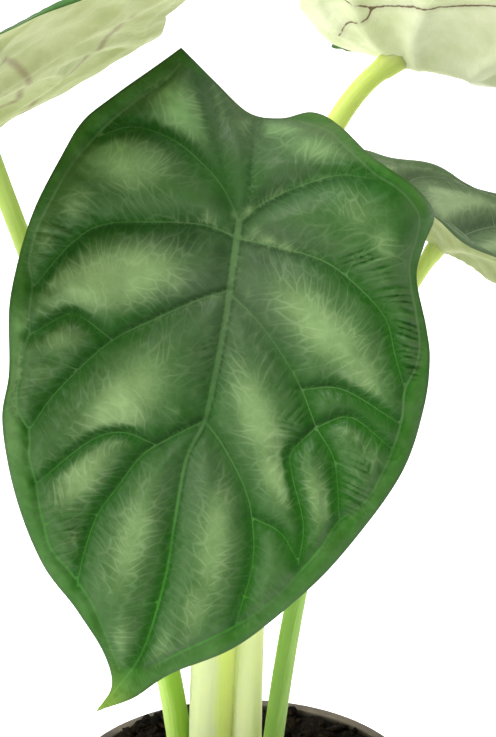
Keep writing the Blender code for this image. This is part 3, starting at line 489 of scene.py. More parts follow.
def smoothRun(points, step):
    # a Catmull-Rom curve through the points, cut into even steps
    knots = [np.array(point, float) for point in points]
    knots = [2 * knots[0] - knots[1]] + knots + [2 * knots[-1] - knots[-2]]
    fine = []
    for a, b, c, d in zip(knots, knots[1:], knots[2:], knots[3:]):
        for t in np.linspace(0, 1, 24, endpoint=False):
            cubic = (3 * b - a - 3 * c + d) * t**3
            fine.append(0.5 * (2 * b + (c - a) * t + (2 * a - 5 * b + 4 * c - d) * t**2 + cubic))
    fine = np.array(fine + [knots[-2]])
    along = np.concatenate([[0], np.cumsum(np.linalg.norm(np.diff(fine, axis=0), axis=1))])
    marks = np.linspace(0, along[-1], max(1, round(along[-1] / step)) + 1)
    return np.column_stack([np.interp(marks, along, fine[:, 0]), np.interp(marks, along, fine[:, 1])])


def distanceAlong(points, line):
    # distance to the line, how far along it that is in mm, and on which side
    best = np.full(len(points), np.inf)
    reached = np.zeros(len(points))
    side = np.zeros(len(points))
    passed = 0
    for start, end in zip(line, line[1:]):
        length = math.dist(start, end)
        way = (end - start) / length
        offset = points - start
        along = np.clip(offset @ way, 0, length)
        distance = np.hypot(offset[:, 0] - along * way[0], offset[:, 1] - along * way[1])
        nearer = distance < best
        best[nearer] = distance[nearer]
        reached[nearer] = passed + along[nearer]
        side[nearer] = (way[0] * offset[:, 1] - way[1] * offset[:, 0])[nearer]
        passed += length
    return best, reached, np.sign(side), passed


def insideLoop(points, loop):
    x, y = points.T
    inside = np.zeros(len(points), bool)
    for (x1, y1), (x2, y2) in zip(loop, np.roll(loop, -1, axis=0)):
        if y1 != y2:
            inside ^= ((y1 > y) != (y2 > y)) & (x < x1 + (y - y1) * (x2 - x1) / (y2 - y1))
    return inside


def lumps(points, size, seed):
    # soft lumps of about that size, between -1 and 1
    draw = random.Random(seed)
    total = np.zeros(len(points))
    for _ in range(6):
        way = draw.uniform(0, math.tau)
        step = math.tau / (size * draw.uniform(0.8, 1.7))
        total += np.sin(points @ np.array([math.cos(way), math.sin(way)]) * step + draw.uniform(0, math.tau))
    return total / 3


def spots(points, rows):
    total = np.zeros(len(points))
    for x, y, radius, strength in rows:
        total += strength * np.exp(-((points[:, 0] - x) ** 2 + (points[:, 1] - y) ** 2) / radius**2)
    return total


def grown(points, leaf):
    # the shared form at this leaf's size, with its own lobes and notch
    notchEnd = backLeaf["margin"][0][1]
    sized = []
    for x, y in points:
        if y > 0:
            filled = leaf["notch"] * max(0, 1 - abs(x) / backLeaf["lobeBreadth"]) * min(1, y / notchEnd)
            y = (y + filled) * leaf["lobe"]
        sized.append((x * leaf["width"] * leaf["length"], y * leaf["length"]))
    return sized


def flipped(points):
    return [(-x, y) for x, y in points]


def bladePlan(name):
    # margins, veins and patches of one blade, flat
    step = bladeSizes["lineStep"]
    if name == "front":
        growth = frontLeaf["growth"]
        right, left = [[(x * growth, y * growth) for x, y in frontLeaf[key]] for key in ("rightMargin", "leftMargin")]
        plan = {key: frontLeaf[key] for key in ("veins", "rolls", "quietVeins", "shadeBelow", "marks")}
        plan.update(relief=1, wave=bladeSizes["waveHeight"], spacing=bladeSizes["frontSpacing"],
                    edgeRuns=[smoothRun(run, step) for run in frontLeaf["edgeVein"]])
    else:
        leaf = leaves[name]
        veins = [(1, grown(backLeaf["midrib"], leaf))]
        for rank, points in backLeaf["veins"]:
            veins += [(rank, grown(points, leaf)), (rank, grown(flipped(points), leaf))]
        right = grown(backLeaf["margin"], leaf)
        left = flipped(right)[::-1]
        plan = {"veins": veins, "rolls": backLeaf["rolls"], "quietVeins": (), "shadeBelow": (),
                "marks": backLeaf["marks"][name], "relief": bladeSizes["backRelief"],
                "wave": leaf.get("wave", bladeSizes["waveHeight"]), "spacing": bladeSizes["backSpacing"],
                "edgeRuns": None, "edgeVeinAt": backLeaf["edgeVeinAt"] * leaf["length"]}
    plan["front"] = name == "front"
    plan["veins"] = [(rank, smoothRun(points, step)) for rank, points in plan["veins"]]
    plan["marks"] = [smoothRun(points, step) for points in plan["marks"]]
    plan["right"], plan["left"] = right, left
    plan["outline"] = marginOf(plan, step)
    return plan


def marginOf(plan, step):
    return np.vstack([smoothRun(plan["right"], step)[:-1], smoothRun(plan["left"], step)[:-1]])


def bladeTriangles(plan):
    # even points on the margin, along the veins and between them, then Delaunay triangles
    spacing = plan["spacing"] * coarser
    kept = [tuple(point) for point in marginOf(plan, spacing)]
    border = len(kept)
    cells = {}

    def tryPoint(x, y, least):
        cx, cy = int(x // spacing), int(y // spacing)
        for ix in (cx - 1, cx, cx + 1):
            for iy in (cy - 1, cy, cy + 1):
                for px, py in cells.get((ix, iy), ()):
                    if (px - x) ** 2 + (py - y) ** 2 < least * least:
                        return False
        cells.setdefault((cx, cy), []).append((x, y))
        return True

    for x, y in kept:
        tryPoint(x, y, 0)
    runs = [line for _, line in plan["veins"]] + (plan["edgeRuns"] or []) + plan["marks"]
    outline = plan["outline"]
    for run in runs:
        run = smoothRun(run[:: max(1, round(4 / bladeSizes["lineStep"]))].tolist() + [tuple(run[-1])], spacing)
        for point, within in zip(run, insideLoop(run, outline)):
            if within and tryPoint(*point, bladeSizes["veinCrowding"] * spacing):
                kept.append(tuple(point))
    draw, jitter = random.Random(11), bladeSizes["jitter"]
    low, high = outline.min(axis=0), outline.max(axis=0)
    rowStep = math.sqrt(3) / 2 * spacing
    fill = []
    for row in range(int((high[1] - low[1]) / rowStep) + 2):
        for column in range(int((high[0] - low[0]) / spacing) + 2):
            fill.append((low[0] + (column + 0.5 * (row % 2) + draw.uniform(-jitter, jitter)) * spacing,
                         low[1] + row * rowStep + draw.uniform(-jitter, jitter) * spacing))
    for point, within in zip(fill, insideLoop(np.array(fill), outline)):
        if within and tryPoint(*point, bladeSizes["fillCrowding"] * spacing):
            kept.append(point)
    found = delaunay_2d_cdt([Vector(point) for point in kept], [], [list(range(border))], 1, 1e-6)
    return np.array([tuple(point) for point in found[0]]), np.array([tuple(face) for face in found[2]])


def bladeFields(plan, points):
    # everything that the shape and the skin need to know about each point
    size = bladeSizes
    x, y = points.T
    count = len(points)
    mainVeins, pastEnds = [], []
    valley, rib, cord, shaded, crease, pale = [np.zeros(count) for _ in range(6)]
    veinLine, veinGap = np.full(count, 9.0), np.full(count, 99.0)
    for index, (rank, line) in enumerate(plan["veins"]):
        midrib = index == 0
        distance, along, side, length = distanceAlong(points, line)
        share = along / length
        half = (size["midribHalf"] if midrib else size["veinHalf"][rank]) * (1 - size["halfLoss"] * share)
        if midrib:
            half = half * (1 - size["midribLoss"] * smooth(share, *size["midribEase"]))
        if not plan["front"]:
            half = half * size["backHalf"]
        depth = size["veinDepth"][rank] * (1 - size["depthLoss"] * share)
        reach = size["veinReach"][rank] * (1 - size["reachLoss"] * share)
        beside = np.maximum(0, distance - 0.5 * half)
        valley += (depth * np.exp(-((beside / reach) ** size["valleyPower"]))) ** size["valleyBlend"]
        rib = np.maximum(rib, size["ribThickness"][rank] * (1 - size["ribLoss"] * share)
                         * np.exp(-((distance / size["ribReach"]) ** 2)))
        if index not in plan["quietVeins"]:
            bulge = np.sqrt(np.clip(1 - (distance / half) ** 2, 0, 1))
            cord = np.maximum(cord, size["cordHeight"] * half * bulge)
            veinLine = np.minimum(veinLine, distance / half + (0 if midrib else size["lateralFaint"]))
        if rank > 2:
            continue
        # which vein's fibres a point follows, and the strips of painted shade and painted highlight beside the vein
        nearer = distance < veinGap
        veinGap[nearer] = distance[nearer]
        ownPhase = 7.3 * index + 3.1 * side  # each side of each vein has its own
        mainVeins.append(np.column_stack([along - size["fibreSlant"] * distance, distance, ownPhase]))
        pastEnds.append((along > length - 0.3) * smooth(distance, 1, 5))
        way = np.gradient(line, axis=0)
        across = np.column_stack([-way[:, 1], way[:, 0]])
        across /= np.linalg.norm(across, axis=1)[:, None]
        uphill = across @ np.array(size["shadeWay"]) * (-1 if index in plan["shadeBelow"] else 1)
        step = np.minimum((share * (len(line) - 1)).astype(int), len(line) - 1)
        facing = uphill[step] * side
        beyond = (distance - half).clip(0)
        overhang = np.clip(facing, 0, 1) * (0.5 if midrib else 1)
        fade = np.exp(-((beyond / (size["shadeReach"][rank] * (1 - 0.3 * share))) ** 1.6))
        shaded = np.maximum(shaded, overhang * fade * (distance < size["shadeLimit"]))
        narrow = np.exp(-((beyond / size["creaseReach"]) ** 1.8)) * (1 - 0.5 * share)
        crease = np.maximum(crease, overhang * narrow * smooth(distance, 0.3 * half, half))
        # painted shade in the groove beside the midrib, and a painted dark hairline along it
        if midrib:
            besideRib = smooth(distance, 0.7 * half, half) * plan["front"]
            groove = np.exp(-((beyond / size["grooveReach"]) ** 1.6)) * (1 - smooth(share, 0.10, 0.26))
            shaded = np.maximum(shaded, size["grooveStrength"] * groove * besideRib)
            hairline = np.exp(-((beyond / size["hairlineReach"]) ** 2)) * (1 - 0.7 * share)
            crease = np.maximum(crease, size["hairlineStrength"] * hairline * besideRib)
        # painted highlight: a paler strip on the side of the vein that faces the light, strongest near the joint
        lit = np.clip(-facing, 0, 1) * np.exp(-((beyond / size["highlightReach"]) ** 1.5))
        pale = np.maximum(pale, size["highlightStrength"] * lit * np.exp(-((np.hypot(x, y + 5) / size["highlightRadius"]) ** 2)))
    # the painted shade is weaker towards the left, where more light falls
    shaded *= 1 - size["shadeFade"] * smooth(-x, *size["sideFade"])
    marginGap, along, _, length = distanceAlong(points, np.vstack([plan["outline"], plan["outline"][:1]]))

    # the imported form
    z = -plan["relief"] * valley ** (1 / size["valleyBlend"])
    z -= size["sideDroop"] * x**2 + np.where(y > 0, size["lobeDroop"], size["tipDroop"]) * y**2
    z += plan["wave"] * np.sin(along / length * math.tau * size["waveCount"]) * np.exp(-marginGap / size["waveReach"])
    roll = np.full(count, size["rollEverywhere"])
    for cx, cy, radius, amount in plan["rolls"]:
        roll += amount * np.exp(-((x - cx) ** 2 + (y - cy) ** 2) / (2 * radius**2))
    z -= roll * np.clip(1 - marginGap / size["rollWidth"], 0, 1) ** 2
    if plan["front"]:
        distance, _, side, _ = distanceAlong(points, np.array(frontLeaf["turnedStrip"], float))
        ease = np.clip((y - frontLeaf["turnedStart"]) / frontLeaf["turnedEase"], -1, 1)
        ease = 0.5 * (ease + np.sqrt(ease**2 + 0.006))
        z -= np.where(side < 0, frontLeaf["turnedSlope"] * distance * ease, 0)

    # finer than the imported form: edge vein, raised cords, blisters, corrugation and lumps
    if plan["edgeRuns"]:
        edgeGap = np.min([distanceAlong(points, run)[0] for run in plan["edgeRuns"]], axis=0)
        outer = 1.0 - insideLoop(points, np.vstack(plan["edgeRuns"]))
    else:
        edgeGap = np.abs(marginGap - plan["edgeVeinAt"])
        outer = (marginGap < plan["edgeVeinAt"]).astype(float)
    veinLine = np.minimum(veinLine, edgeGap / size["edgeVeinHalf"])
    gap = np.minimum(veinGap, np.where(outer > 0, 99, edgeGap + 1.0))
    z -= plan["relief"] * size["edgeVeinDepth"] * np.exp(-((edgeGap / size["edgeVeinReach"]) ** 2))
    z += plan["relief"] * (cord + size["blister"] * smooth(gap, 1.0, 9.0) * (1 - outer))
    mainVeins = np.array(mainVeins)
    owner = mainVeins[:, :, 1].argmin(axis=0)
    fibre = mainVeins[owner, np.arange(count)]
    ladder = size["ladderBase"] + (spots(points, frontLeaf["ladders"]) if plan["front"] else size["backLadder"])
    ladder = ladder * (1 + size["ladderVariation"] * lumps(points, size["ladderPatch"], 21)).clip(0)
    step = size["corrugationStep"]
    slow = np.sin(fibre[:, 0] / (size["swaySteps"] * step) * math.tau + fibre[:, 2])
    beat = fibre[:, 0] / step * math.tau + size["corrugationSway"] * slow
    inset = smooth(marginGap, 0.5, 3.0)
    reachOut = smooth(veinGap, 0.6, 2.6) * (1 - smooth(veinGap, 7, 14)) * inset
    z += plan["relief"] * size["corrugation"] * ladder * np.sin(beat) * reachOut
    z += size["lumpHeight"] * lumps(points, size["lumpSize"], 5) * smooth(gap, 0, 5)
    beside = smooth(gap, 0.3, 1.8) * (1 - smooth(gap, 4, 10)) * inset
    z += plan["relief"] * size["puckerHeight"] * lumps(points, size["puckerSize"], 9) * beside

    # silver patches with painted highlights and glints, painted sheen, painted shade and stained lines
    if plan["front"]:
        silver = pale
        for cx, cy, halfLength, halfWidth, turn, strength in frontLeaf["silver"]:
            way = math.radians(turn)
            u = (x - cx) * math.cos(way) + (y - cy) * math.sin(way)
            v = (y - cy) * math.cos(way) - (x - cx) * math.sin(way)
            patch = strength * np.exp(-((u / halfLength) ** 2 + (v / halfWidth) ** 2) ** 1.15)
            silver = np.maximum(silver, patch * smooth(gap, 0.6, 4.0))
        silver = silver + spots(points, frontLeaf["glints"])
        bloomAndSheen = np.clip(spots(points, frontLeaf["paintedSheenSpots"]), 0, 0.9)
        shaded = np.maximum(shaded, spots(points, frontLeaf["paintedShadeSpots"]))
        crease = np.maximum(crease, spots(points, frontLeaf["hollowShadeSpots"]))
    else:
        strength, start, full = backLeaf["silver"]
        silver = strength * smooth(gap, start, full) * (1 - outer)
        bloomAndSheen = np.full(count, backLeaf["bloomAndSheen"])
    end = plan["right"][-1]
    tip = size["tipStrength"] * np.exp(-((np.hypot(x - end[0], y - end[1]) / size["tipLength"]) ** 2))
    mark = np.min([np.full(count, 9.0)] + [distanceAlong(points, line)[0] for line in plan["marks"]], axis=0)
    nearest = np.sort(mainVeins[:, :, 1], axis=0)
    combed = smooth(nearest[1] - nearest[0], 0.4, 4.0) * (1 - np.array(pastEnds)[owner, np.arange(count)])
    fields = {"flat": np.column_stack([x, y, np.zeros(count)]), "veinLine": veinLine, "veinGap": veinGap,
              "silver": silver, "bloomAndSheen": bloomAndSheen, "outer": outer * smooth(edgeGap, 0, 2.2), "marginGap": marginGap,
              "mark": mark, "combed": combed, "shaded": shaded, "crease": crease, "tip": tip,
              "ladder": np.clip(0.5 * (ladder - 0.15), 0, 0.9) * reachOut}
    return z, rib, fields, mainVeins


def cornerFibres(mainVeins, faces):
    # along and across the vein that each triangle belongs to
    middle = mainVeins[:, faces].mean(axis=2)
    owner = middle[:, :, 1].argmin(axis=0)
    fibres = mainVeins[owner[:, None], faces]
    fibres[:, :, 2] = middle[owner, np.arange(len(faces)), 2][:, None]
    return fibres


def bent(points, z, fold, arch):
    # the halves fold up by one angle, then the blade bends back over its length by another
    x, y = points.T
    fold = math.radians(fold)
    soft = bladeSizes["foldSoftness"]
    spread = np.sqrt(x**2 + soft**2)
    lifted = z + math.sin(fold) * (spread - soft)
    across = x * (1 - (1 - math.cos(fold)) * np.abs(x) / spread)
    radius = bladeSizes["archLength"] / math.radians(arch)
    reach = radius + lifted
    return np.column_stack([across, reach * np.sin(y / radius), reach * np.cos(y / radius) - radius])


def pointNormals(points, faces):
    corners = points[faces]
    across = np.cross(corners[:, 1] - corners[:, 0], corners[:, 2] - corners[:, 0])
    normals = np.zeros_like(points)
    for corner in range(3):
        np.add.at(normals, faces[:, corner], across)
    return normals / np.linalg.norm(normals, axis=1)[:, None]


def leafMatrix(leaf):
    lobes, faces = leaf["lobes"], leaf["faces"]
    along = (sideways * lobes[0] + upwards * lobes[1] + outwards * lobes[2]).normalized()
    up = sideways * faces[0] + upwards * faces[1] + outwards * faces[2]
    up = (up - along * up.dot(along)).normalized()
    turn = Matrix((along.cross(up), along, up)).transposed().to_4x4()
    return Matrix.Translation(Vector(leaf["joint"])) @ turn


def borderEdges(faces):
    edges = {(a, b) for face in faces.tolist() for a, b in zip(face, face[1:] + face[:1])}
    return sorted((a, b) for a, b in edges if (b, a) not in edges)


def buildBlade(name, materials):
    leaf = leaves[name]
    plan = bladePlan(name)
    flat, faces = bladeTriangles(plan)
    z, rib, fields, mainVeins = bladeFields(plan, flat)
    top = bent(flat, z, leaf["fold"], leaf["arch"])
    normals = pointNormals(top, faces)
    if normals[:, 2].mean() < 0:
        faces = faces[:, ::-1]
        normals = -normals
    size, gap = bladeSizes, fields["marginGap"]
    thick = size["edgeThickness"] + (size["thickness"] - size["edgeThickness"]) * smooth(gap, 0, size["edgeEase"])
    under = top - normals * (thick + rib * smooth(gap, 0, size["ribEase"]))[:, None]
    # a ring half way round the edge makes it round
    border = borderEdges(faces)
    ringIndex = {a: index for index, (a, _) in enumerate(border)}
    ring = np.zeros((len(border), 3))
    for a, b in border:
        way = top[b] - top[a]
        out = np.cross(way, normals[a])
        ring[ringIndex[a]] = 0.5 * (top[a] + under[a]) + out / np.linalg.norm(out) * size["edgeRound"]
    count = len(top)
    shell = faces.tolist() + (faces[:, ::-1] + count).tolist()
    skins = [0] * len(faces) + [1] * len(faces)
    for a, b in border:
        ra, rb = 2 * count + ringIndex[a], 2 * count + ringIndex[b]
        shell += [(b, a, ra, rb), (rb, ra, count + a, count + b)]
        skins += [0, 1]
    order = [a for a, _ in border]
    for field, values in fields.items():
        fields[field] = np.concatenate([values, values, values[order]])
    fibres = cornerFibres(mainVeins, faces)
    fibres = np.vstack([fibres.reshape(-1, 3), fibres[:, ::-1].reshape(-1, 3), np.zeros((8 * len(border), 3))])
    matrix = np.array(leafMatrix(leaf))
    points = np.vstack([top, under, ring]) * mm @ matrix[:3, :3].T + matrix[:3, 3]
    blade = addMesh("leaf_" + name, points, shell, materials, skins, fields, None, {"fibre": fibres})
    place(blade, "blade_" + name)
    print("leaf", name, "with", len(shell), "faces")
    return blade


# Leaf stalks: smooth, juicy and faintly streaked, so they shine softly and look lit from within

stalkSizes = {
    "sides": 36, "rings": 90, "taper": (0.12, 0.85), "intoBlade": 0.0006, "intoCorm": 0.002,
    "collar": 0.0016, "collarFrom": 0.955,  # how far the top widens into the blade's veins, and from where
    "ribs": 11, "ribHeight": 0.012, "grooveDepth": 0.05, "grooveHalf": 0.45, "grooveStart": (0.15, 0.5),
    "wing": {"front": 0.0022}, "wingHalf": 0.42, "wingEnd": (0.35, 0.7),  # the sheath's thin edge
    "stopFrom": 0.86, "stopStep": 0.002,  # where along its path the stalk may end
    "stopClear": 0.0008, "lookBack": 0.012,  # how near its rim comes to the blade, and where the look starts
    "endLookBack": 0.020, "holdBack": 0.002,  # the same at its last ring, and how short it stays if it meets none
    "streaks": (1.6, 0.07, 1), "streakBump": 0.00012,  # streaks about 0.6 mm wide and 14 mm long
    "bandFray": 0.28, "flecks": 0.35, "sheen": (0.48, 0.60),
}
stalkLooks = {  # pale and green tones, and where the green band runs: 1 is the right side, -1 the left
    "front": {"pale": "#cdd8a2", "green": "#d8e87c", "band": (0.95, 0.55), "top": "#9dbb55"},
    "upper_left": {"pale": "#aac868", "green": "#8ab438", "band": (0.5, 0.8), "top": "#9cb25a"},
    "upper_right": {"pale": "#e6f0b6", "green": "#dcea82", "band": (-0.95, 0.6), "top": "#bfcd74"},
    "right": {"pale": "#90b25e", "green": "#6e943a", "band": (-0.4, 0.8), "top": "#a9b86c"},
}


def stalkSkin(name, look):
    material, shader, add = newMaterial(name, {
        "IOR": 1.42, "Specular IOR Level": 0.3, "Subsurface Weight": 0.9, "Subsurface Scale": 0.008,
        "Subsurface Radius": (1.0, 1.0, 0.4)})
    flat = add("Attribute", out=1, attribute_name="flat")
    band, rise = [add("Attribute", out=2, attribute_name=field) for field in ("band", "rise")]
    size = stalkSizes
    streakSpace = add("VectorMath", [flat, size["streaks"]], operation="MULTIPLY")
    streaks = add("TexNoise", {"Vector": streakSpace, "Scale": 1, "Detail": 3})
    streakShift = add("MapRange", [streaks, 0.25, 0.75, -size["bandFray"], size["bandFray"]])
    bandEdge = add("Math", [band, streakShift], operation="ADD")
    bandShare = add("MapRange", [bandEdge, 0.1, 0.9], **eased)
    topShare = add("MapRange", [rise, 0.35, 0.8], **eased)
    fleckShare = add("MapRange", [streaks, 0.55, 0.8, 0.0, size["flecks"]])
    skin = linear(look["pale"])
    for share, part in ((bandShare, "green"), (topShare, "top"), (fleckShare, "green")):
        skin = add("Mix", {0: share, 6: skin, 7: linear(look[part])}, **colourMix)
    roughness = add("MapRange", [streaks, 0.3, 0.7, *size["sheen"]])
    finishMaterial(add, shader, skin, roughness, streaks, size["streakBump"])
    return material


potSizes = {
    "height": 0.106, "rimRadius": 0.060, "footRadius": 0.043, "footBevel": 0.0015, "wall": 0.0018,
    "floor": 0.0025, "rimHeight": 0.009, "rimOverhang": 0.0022, "rimBevel": 0.0009, "segments": 180,
    "holes": 6, "holeRadius": 0.0045, "holeCircle": 0.029, "holeStart": 0.37,
    "black": "#151515", "rubbed": "#242422", "rubs": 60, "rubStrength": 0.5, "sheen": (0.36, 0.52),  # spots of 17 mm
    "rimTop": "#786d5c", "rimTopDepth": 0.0022, "rimTopSpots": (0.35, 0.9),
    "grain": 2600, "grainBump": 0.00006,  # mould grain of 0.4 mm
}
cormSizes = {
    "x": -0.006, "y": 0.0, "halfWidth": 0.0210, "halfDepth": 0.0135, "length": 0.040, "above": 0.0015, "steps": 72,
    "ripples": 9, "rippleHeight": 0.0004, "dark": "#3a2a1a", "pale": "#8a6f4a",
    "fibres": (1400, 1400, 160), "fibreBump": 0.0006,  # about 0.7 mm wide and 6 mm long
    "profile": [(0, -1), (0.45, -0.98), (0.75, -0.86), (0.94, -0.6), (1, -0.3), (0.99, -0.03), (0.96, -0.005),
                (0.93, 0), (0, 0)],  # parts of the half width and of the length
}
soilSizes = {
    "belowRim": 0.006, "lump": 0.0016, "mound": 0.0025, "moundRadius": 0.030, "rings": 70, "steps": 300,
    "clodHeight": 0.0016, "clodScale": 320, "fromWall": 0.0004, "overFloor": 0.0003, "edgeDrop": 0.0015,
    "heapAngle": 121, "heapHeight": 0.0042, "heapCentre": 0.053, "heapRadius": 0.014,
    "bankHeight": 0.0046, "bankWidth": 0.011,
    "damp": "#0f0d0a", "lighter": "#221b13", "dry": "#40321f", "dryShare": 0.55,
    "clods": 380, "bits": 900, "clodBump": 0.0012,  # clods of 2 to 3 mm and bits of about 1 mm
}
crumbSizes = {
    "crumbs": 900, "breadth": (0.0006, 0.0022), "bias": 2.2, "chips": 60, "chipForm": (2.4, 0.9, 0.4),  # mostly small
    "roughness": 0.55, "lumps": 1.7, "tilt": 0.6, "lift": 0.25, "fromWall": 0.0012,
    "heapEvery": 6, "heapTurn": 0.42, "heapFrom": 0.86,  # every sixth one lies on the heap
}
soilTop = potSizes["height"] - soilSizes["belowRim"]
cormTop = soilTop + cormSizes["above"]


def bezier(points, t):
    a, b, c, d = points
    return a * (1 - t) ** 3 + b * 3 * t * (1 - t) ** 2 + c * 3 * t**2 * (1 - t) + d * t**3


def bezierWay(points, t):
    a, b, c, d = points
    return ((b - a) * (1 - t) ** 2 + (c - b) * 2 * t * (1 - t) + (d - c) * t**2).normalized()


def stalkEnd(path, half, tree):
    # how far along its path the stalk goes before its rim would come through the blade
    size = stalkSizes
    for t in np.arange(size["stopFrom"], 1.0, size["stopStep"]):
        centre, way = bezier(path, t), bezierWay(path, t)
        across = Vector((0, 1, 0)).cross(way).normalized()
        back = way.cross(across)
        for turn in np.linspace(0, math.tau, 12, endpoint=False):
            spot = centre + (across * math.cos(turn) + back * math.sin(turn)) * half
            hit = tree.ray_cast(spot - way * size["lookBack"], way)[0]
            if hit and (hit - spot).dot(way) < size["stopClear"]:
                return t
    return 1.0


def buildStalk(name, blade, material):
    leaf, look, size = leaves[name], stalkLooks[name], stalkSizes
    joint = Vector(leaf["joint"])
    foot = Vector((*leaf["foot"], cormTop))
    path = [foot, foot + Vector(leaf["leave"]), joint + Vector(leaf["arrive"]), joint]
    tree = BVHTree.FromObject(blade, bpy.context.evaluated_depsgraph_get())
    sides, rings = size["sides"], size["rings"]
    stop = stalkEnd(path, leaf["top"] / 2, tree)
    middle, half = look["band"]
    points, flats, bands, rises = [], [], [], []
    passed = 0.0
    last = foot
    for index in range(rings):
        t = stop * index / (rings - 1)
        centre = bezier(path, t)
        way = bezierWay(path, t) if t > 0 else Vector((0, 0, 1))
        passed += (centre - last).length
        last = centre
        across = Vector((0, 1, 0)).cross(way).normalized()
        back = way.cross(across)
        sheath = 1 - float(smooth(t, *size["taper"]))
        collar = size["collar"] * float(smooth(t / stop, size["collarFrom"], 1.0)) ** 2
        wide = leaf["top"] + (leaf["footWidth"] - leaf["top"]) * sheath + collar
        deep = leaf["top"] + (leaf["footDepth"] - leaf["top"]) * sheath + collar
        wingOut = size["wing"].get(name, 0) * (1 - float(smooth(t, *size["wingEnd"])))
        grooveIn = size["grooveDepth"] * float(smooth(t, *size["grooveStart"]))
        lowering = size["intoCorm"] if index == 0 else 0
        for side in range(sides):
            angle = math.tau * side / sides
            ribbing = 1 + size["ribHeight"] * math.sin(size["ribs"] * angle + 2 * t)
            groove = 1 - grooveIn * math.exp(-(((angle - 1.5 * math.pi) / size["grooveHalf"]) ** 2))
            x, y = math.cos(angle) * ribbing * groove, math.sin(angle) * ribbing * groove
            wing = wingOut * math.exp(-((math.remainder(angle, math.tau) / size["wingHalf"]) ** 2))
            spot = centre + across * (x * wide / 2 + wing) + back * (y * deep / 2) - way * lowering
            if index == rings - 1:
                hit = tree.ray_cast(spot - way * size["endLookBack"], way)[0]
                spot = (hit or spot - way * size["holdBack"]) + way * size["intoBlade"]
            points.append(spot)
            flats.append((angle * wide * 500, passed * 1000, 0))  # round and along the stalk, mm
            bands.append(math.exp(-(((math.cos(angle) - middle) / half) ** 2)))
            rises.append(t)
    faces = []
    for low in range(0, (rings - 1) * sides, sides):
        for side in range(sides):
            after = (side + 1) % sides
            faces.append((low + side, low + after, low + sides + after, low + sides + side))
    faces.append(tuple(range(sides))[::-1])
    faces.append(tuple(range((rings - 1) * sides, rings * sides)))
    stalk = addMesh("stalk_" + name, points, faces, [material], None,
                    {"flat": flats, "band": bands, "rise": rises}, 60)
    place(stalk, "petiole_" + name)
    print("stalk", name, "built")


# Corm: dry, papery and fibrous, so it is dull and finely streaked

def cormSkin():
    material, shader, add = newMaterial("papery corm skin, dried", {"IOR": 1.45, "Specular IOR Level": 0.3})
    spot = add("TexCoord", out=3)
    streakSpace = add("VectorMath", [spot, cormSizes["fibres"]], operation="MULTIPLY")
    streaks = add("TexNoise", {"Vector": streakSpace, "Scale": 1, "Detail": 4})
    share = add("MapRange", [streaks, 0.3, 0.7])
    skin = add("Mix", {0: share, 6: linear(cormSizes["dark"]), 7: linear(cormSizes["pale"])}, **colourMix)
    roughness = add("MapRange", [streaks, 0.0, 1.0, 0.7, 0.95])
    finishMaterial(add, shader, skin, roughness, streaks, cormSizes["fibreBump"])
    return material


def ringFaces(rows, steps):
    # a skin over rings of points, an end ring may be a single point
    points, indices, faces = [], [], []
    for row in rows:
        start = len(points)
        indices.append([start] * steps if len(row) == 1 else list(range(start, start + steps)))
        points += [tuple(spot) for spot in row]
    for low, high in zip(indices, indices[1:]):
        for step in range(steps):
            after = (step + 1) % steps
            faces.append(tuple(dict.fromkeys([low[step], low[after], high[after], high[step]])))
    return points, faces


def circle(radius, height, steps, x=0.0, y=0.0, stretch=1.0):
    if radius == 0:
        return [(x, y, height)]
    turns = [math.tau * step / steps for step in range(steps)]
    return [(x + radius * math.cos(turn), y + radius * stretch * math.sin(turn), height) for turn in turns]


def buildCorm(material):
    size = cormSizes
    steps = size["steps"]
    rows = []
    for share, level in size["profile"]:
        row = circle(share * size["halfWidth"], cormTop + level * size["length"], steps, size["x"], size["y"],
                     size["halfDepth"] / size["halfWidth"])
        if len(row) > 1:
            row = [(x, y, z + size["rippleHeight"] * math.sin(size["ripples"] * math.tau * step / steps))
                   for step, (x, y, z) in enumerate(row)]
        rows.append(row)
    corm = addMesh("corm_skin", *ringFaces(rows, steps), [material], sharpAngle=50)
    place(corm, "corm")


# Soil: damp peat mix. Water in it takes the light away, so it is nearly black and dull, with browner dry crumbs.

def peatMix():
    material, shader, add = newMaterial("peat potting mix, damp", {"IOR": 1.33, "Specular IOR Level": 0.25})
    size = soilSizes
    spot = add("TexCoord", out=3)
    clods = add("TexNoise", {"Vector": spot, "Scale": size["clods"], "Detail": 6, "Roughness": 0.7})
    bits = add("TexVoronoi", {"Vector": spot, "Scale": size["bits"]}, out=1)
    bitTone = add("SeparateColor", [bits])
    share = add("MapRange", [clods, 0.35, 0.75], **eased)
    earth = add("Mix", {0: share, 6: linear(size["damp"]), 7: linear(size["lighter"])}, **colourMix)
    dryShare = add("MapRange", [bitTone, 0.80, 0.98, 0.0, size["dryShare"]])
    earth = add("Mix", {0: dryShare, 6: earth, 7: linear(size["dry"])}, **colourMix)
    roughness = add("MapRange", [clods, 0.3, 0.7, 0.78, 0.98])
    finishMaterial(add, shader, earth, roughness, clods, size["clodBump"])
    return material


def outerRadius(height):
    top = potSizes["rimRadius"] - potSizes["rimOverhang"]
    return potSizes["footRadius"] + (top - potSizes["footRadius"]) * height / potSizes["height"]


def innerRadius(height):
    return outerRadius(height) - potSizes["wall"]


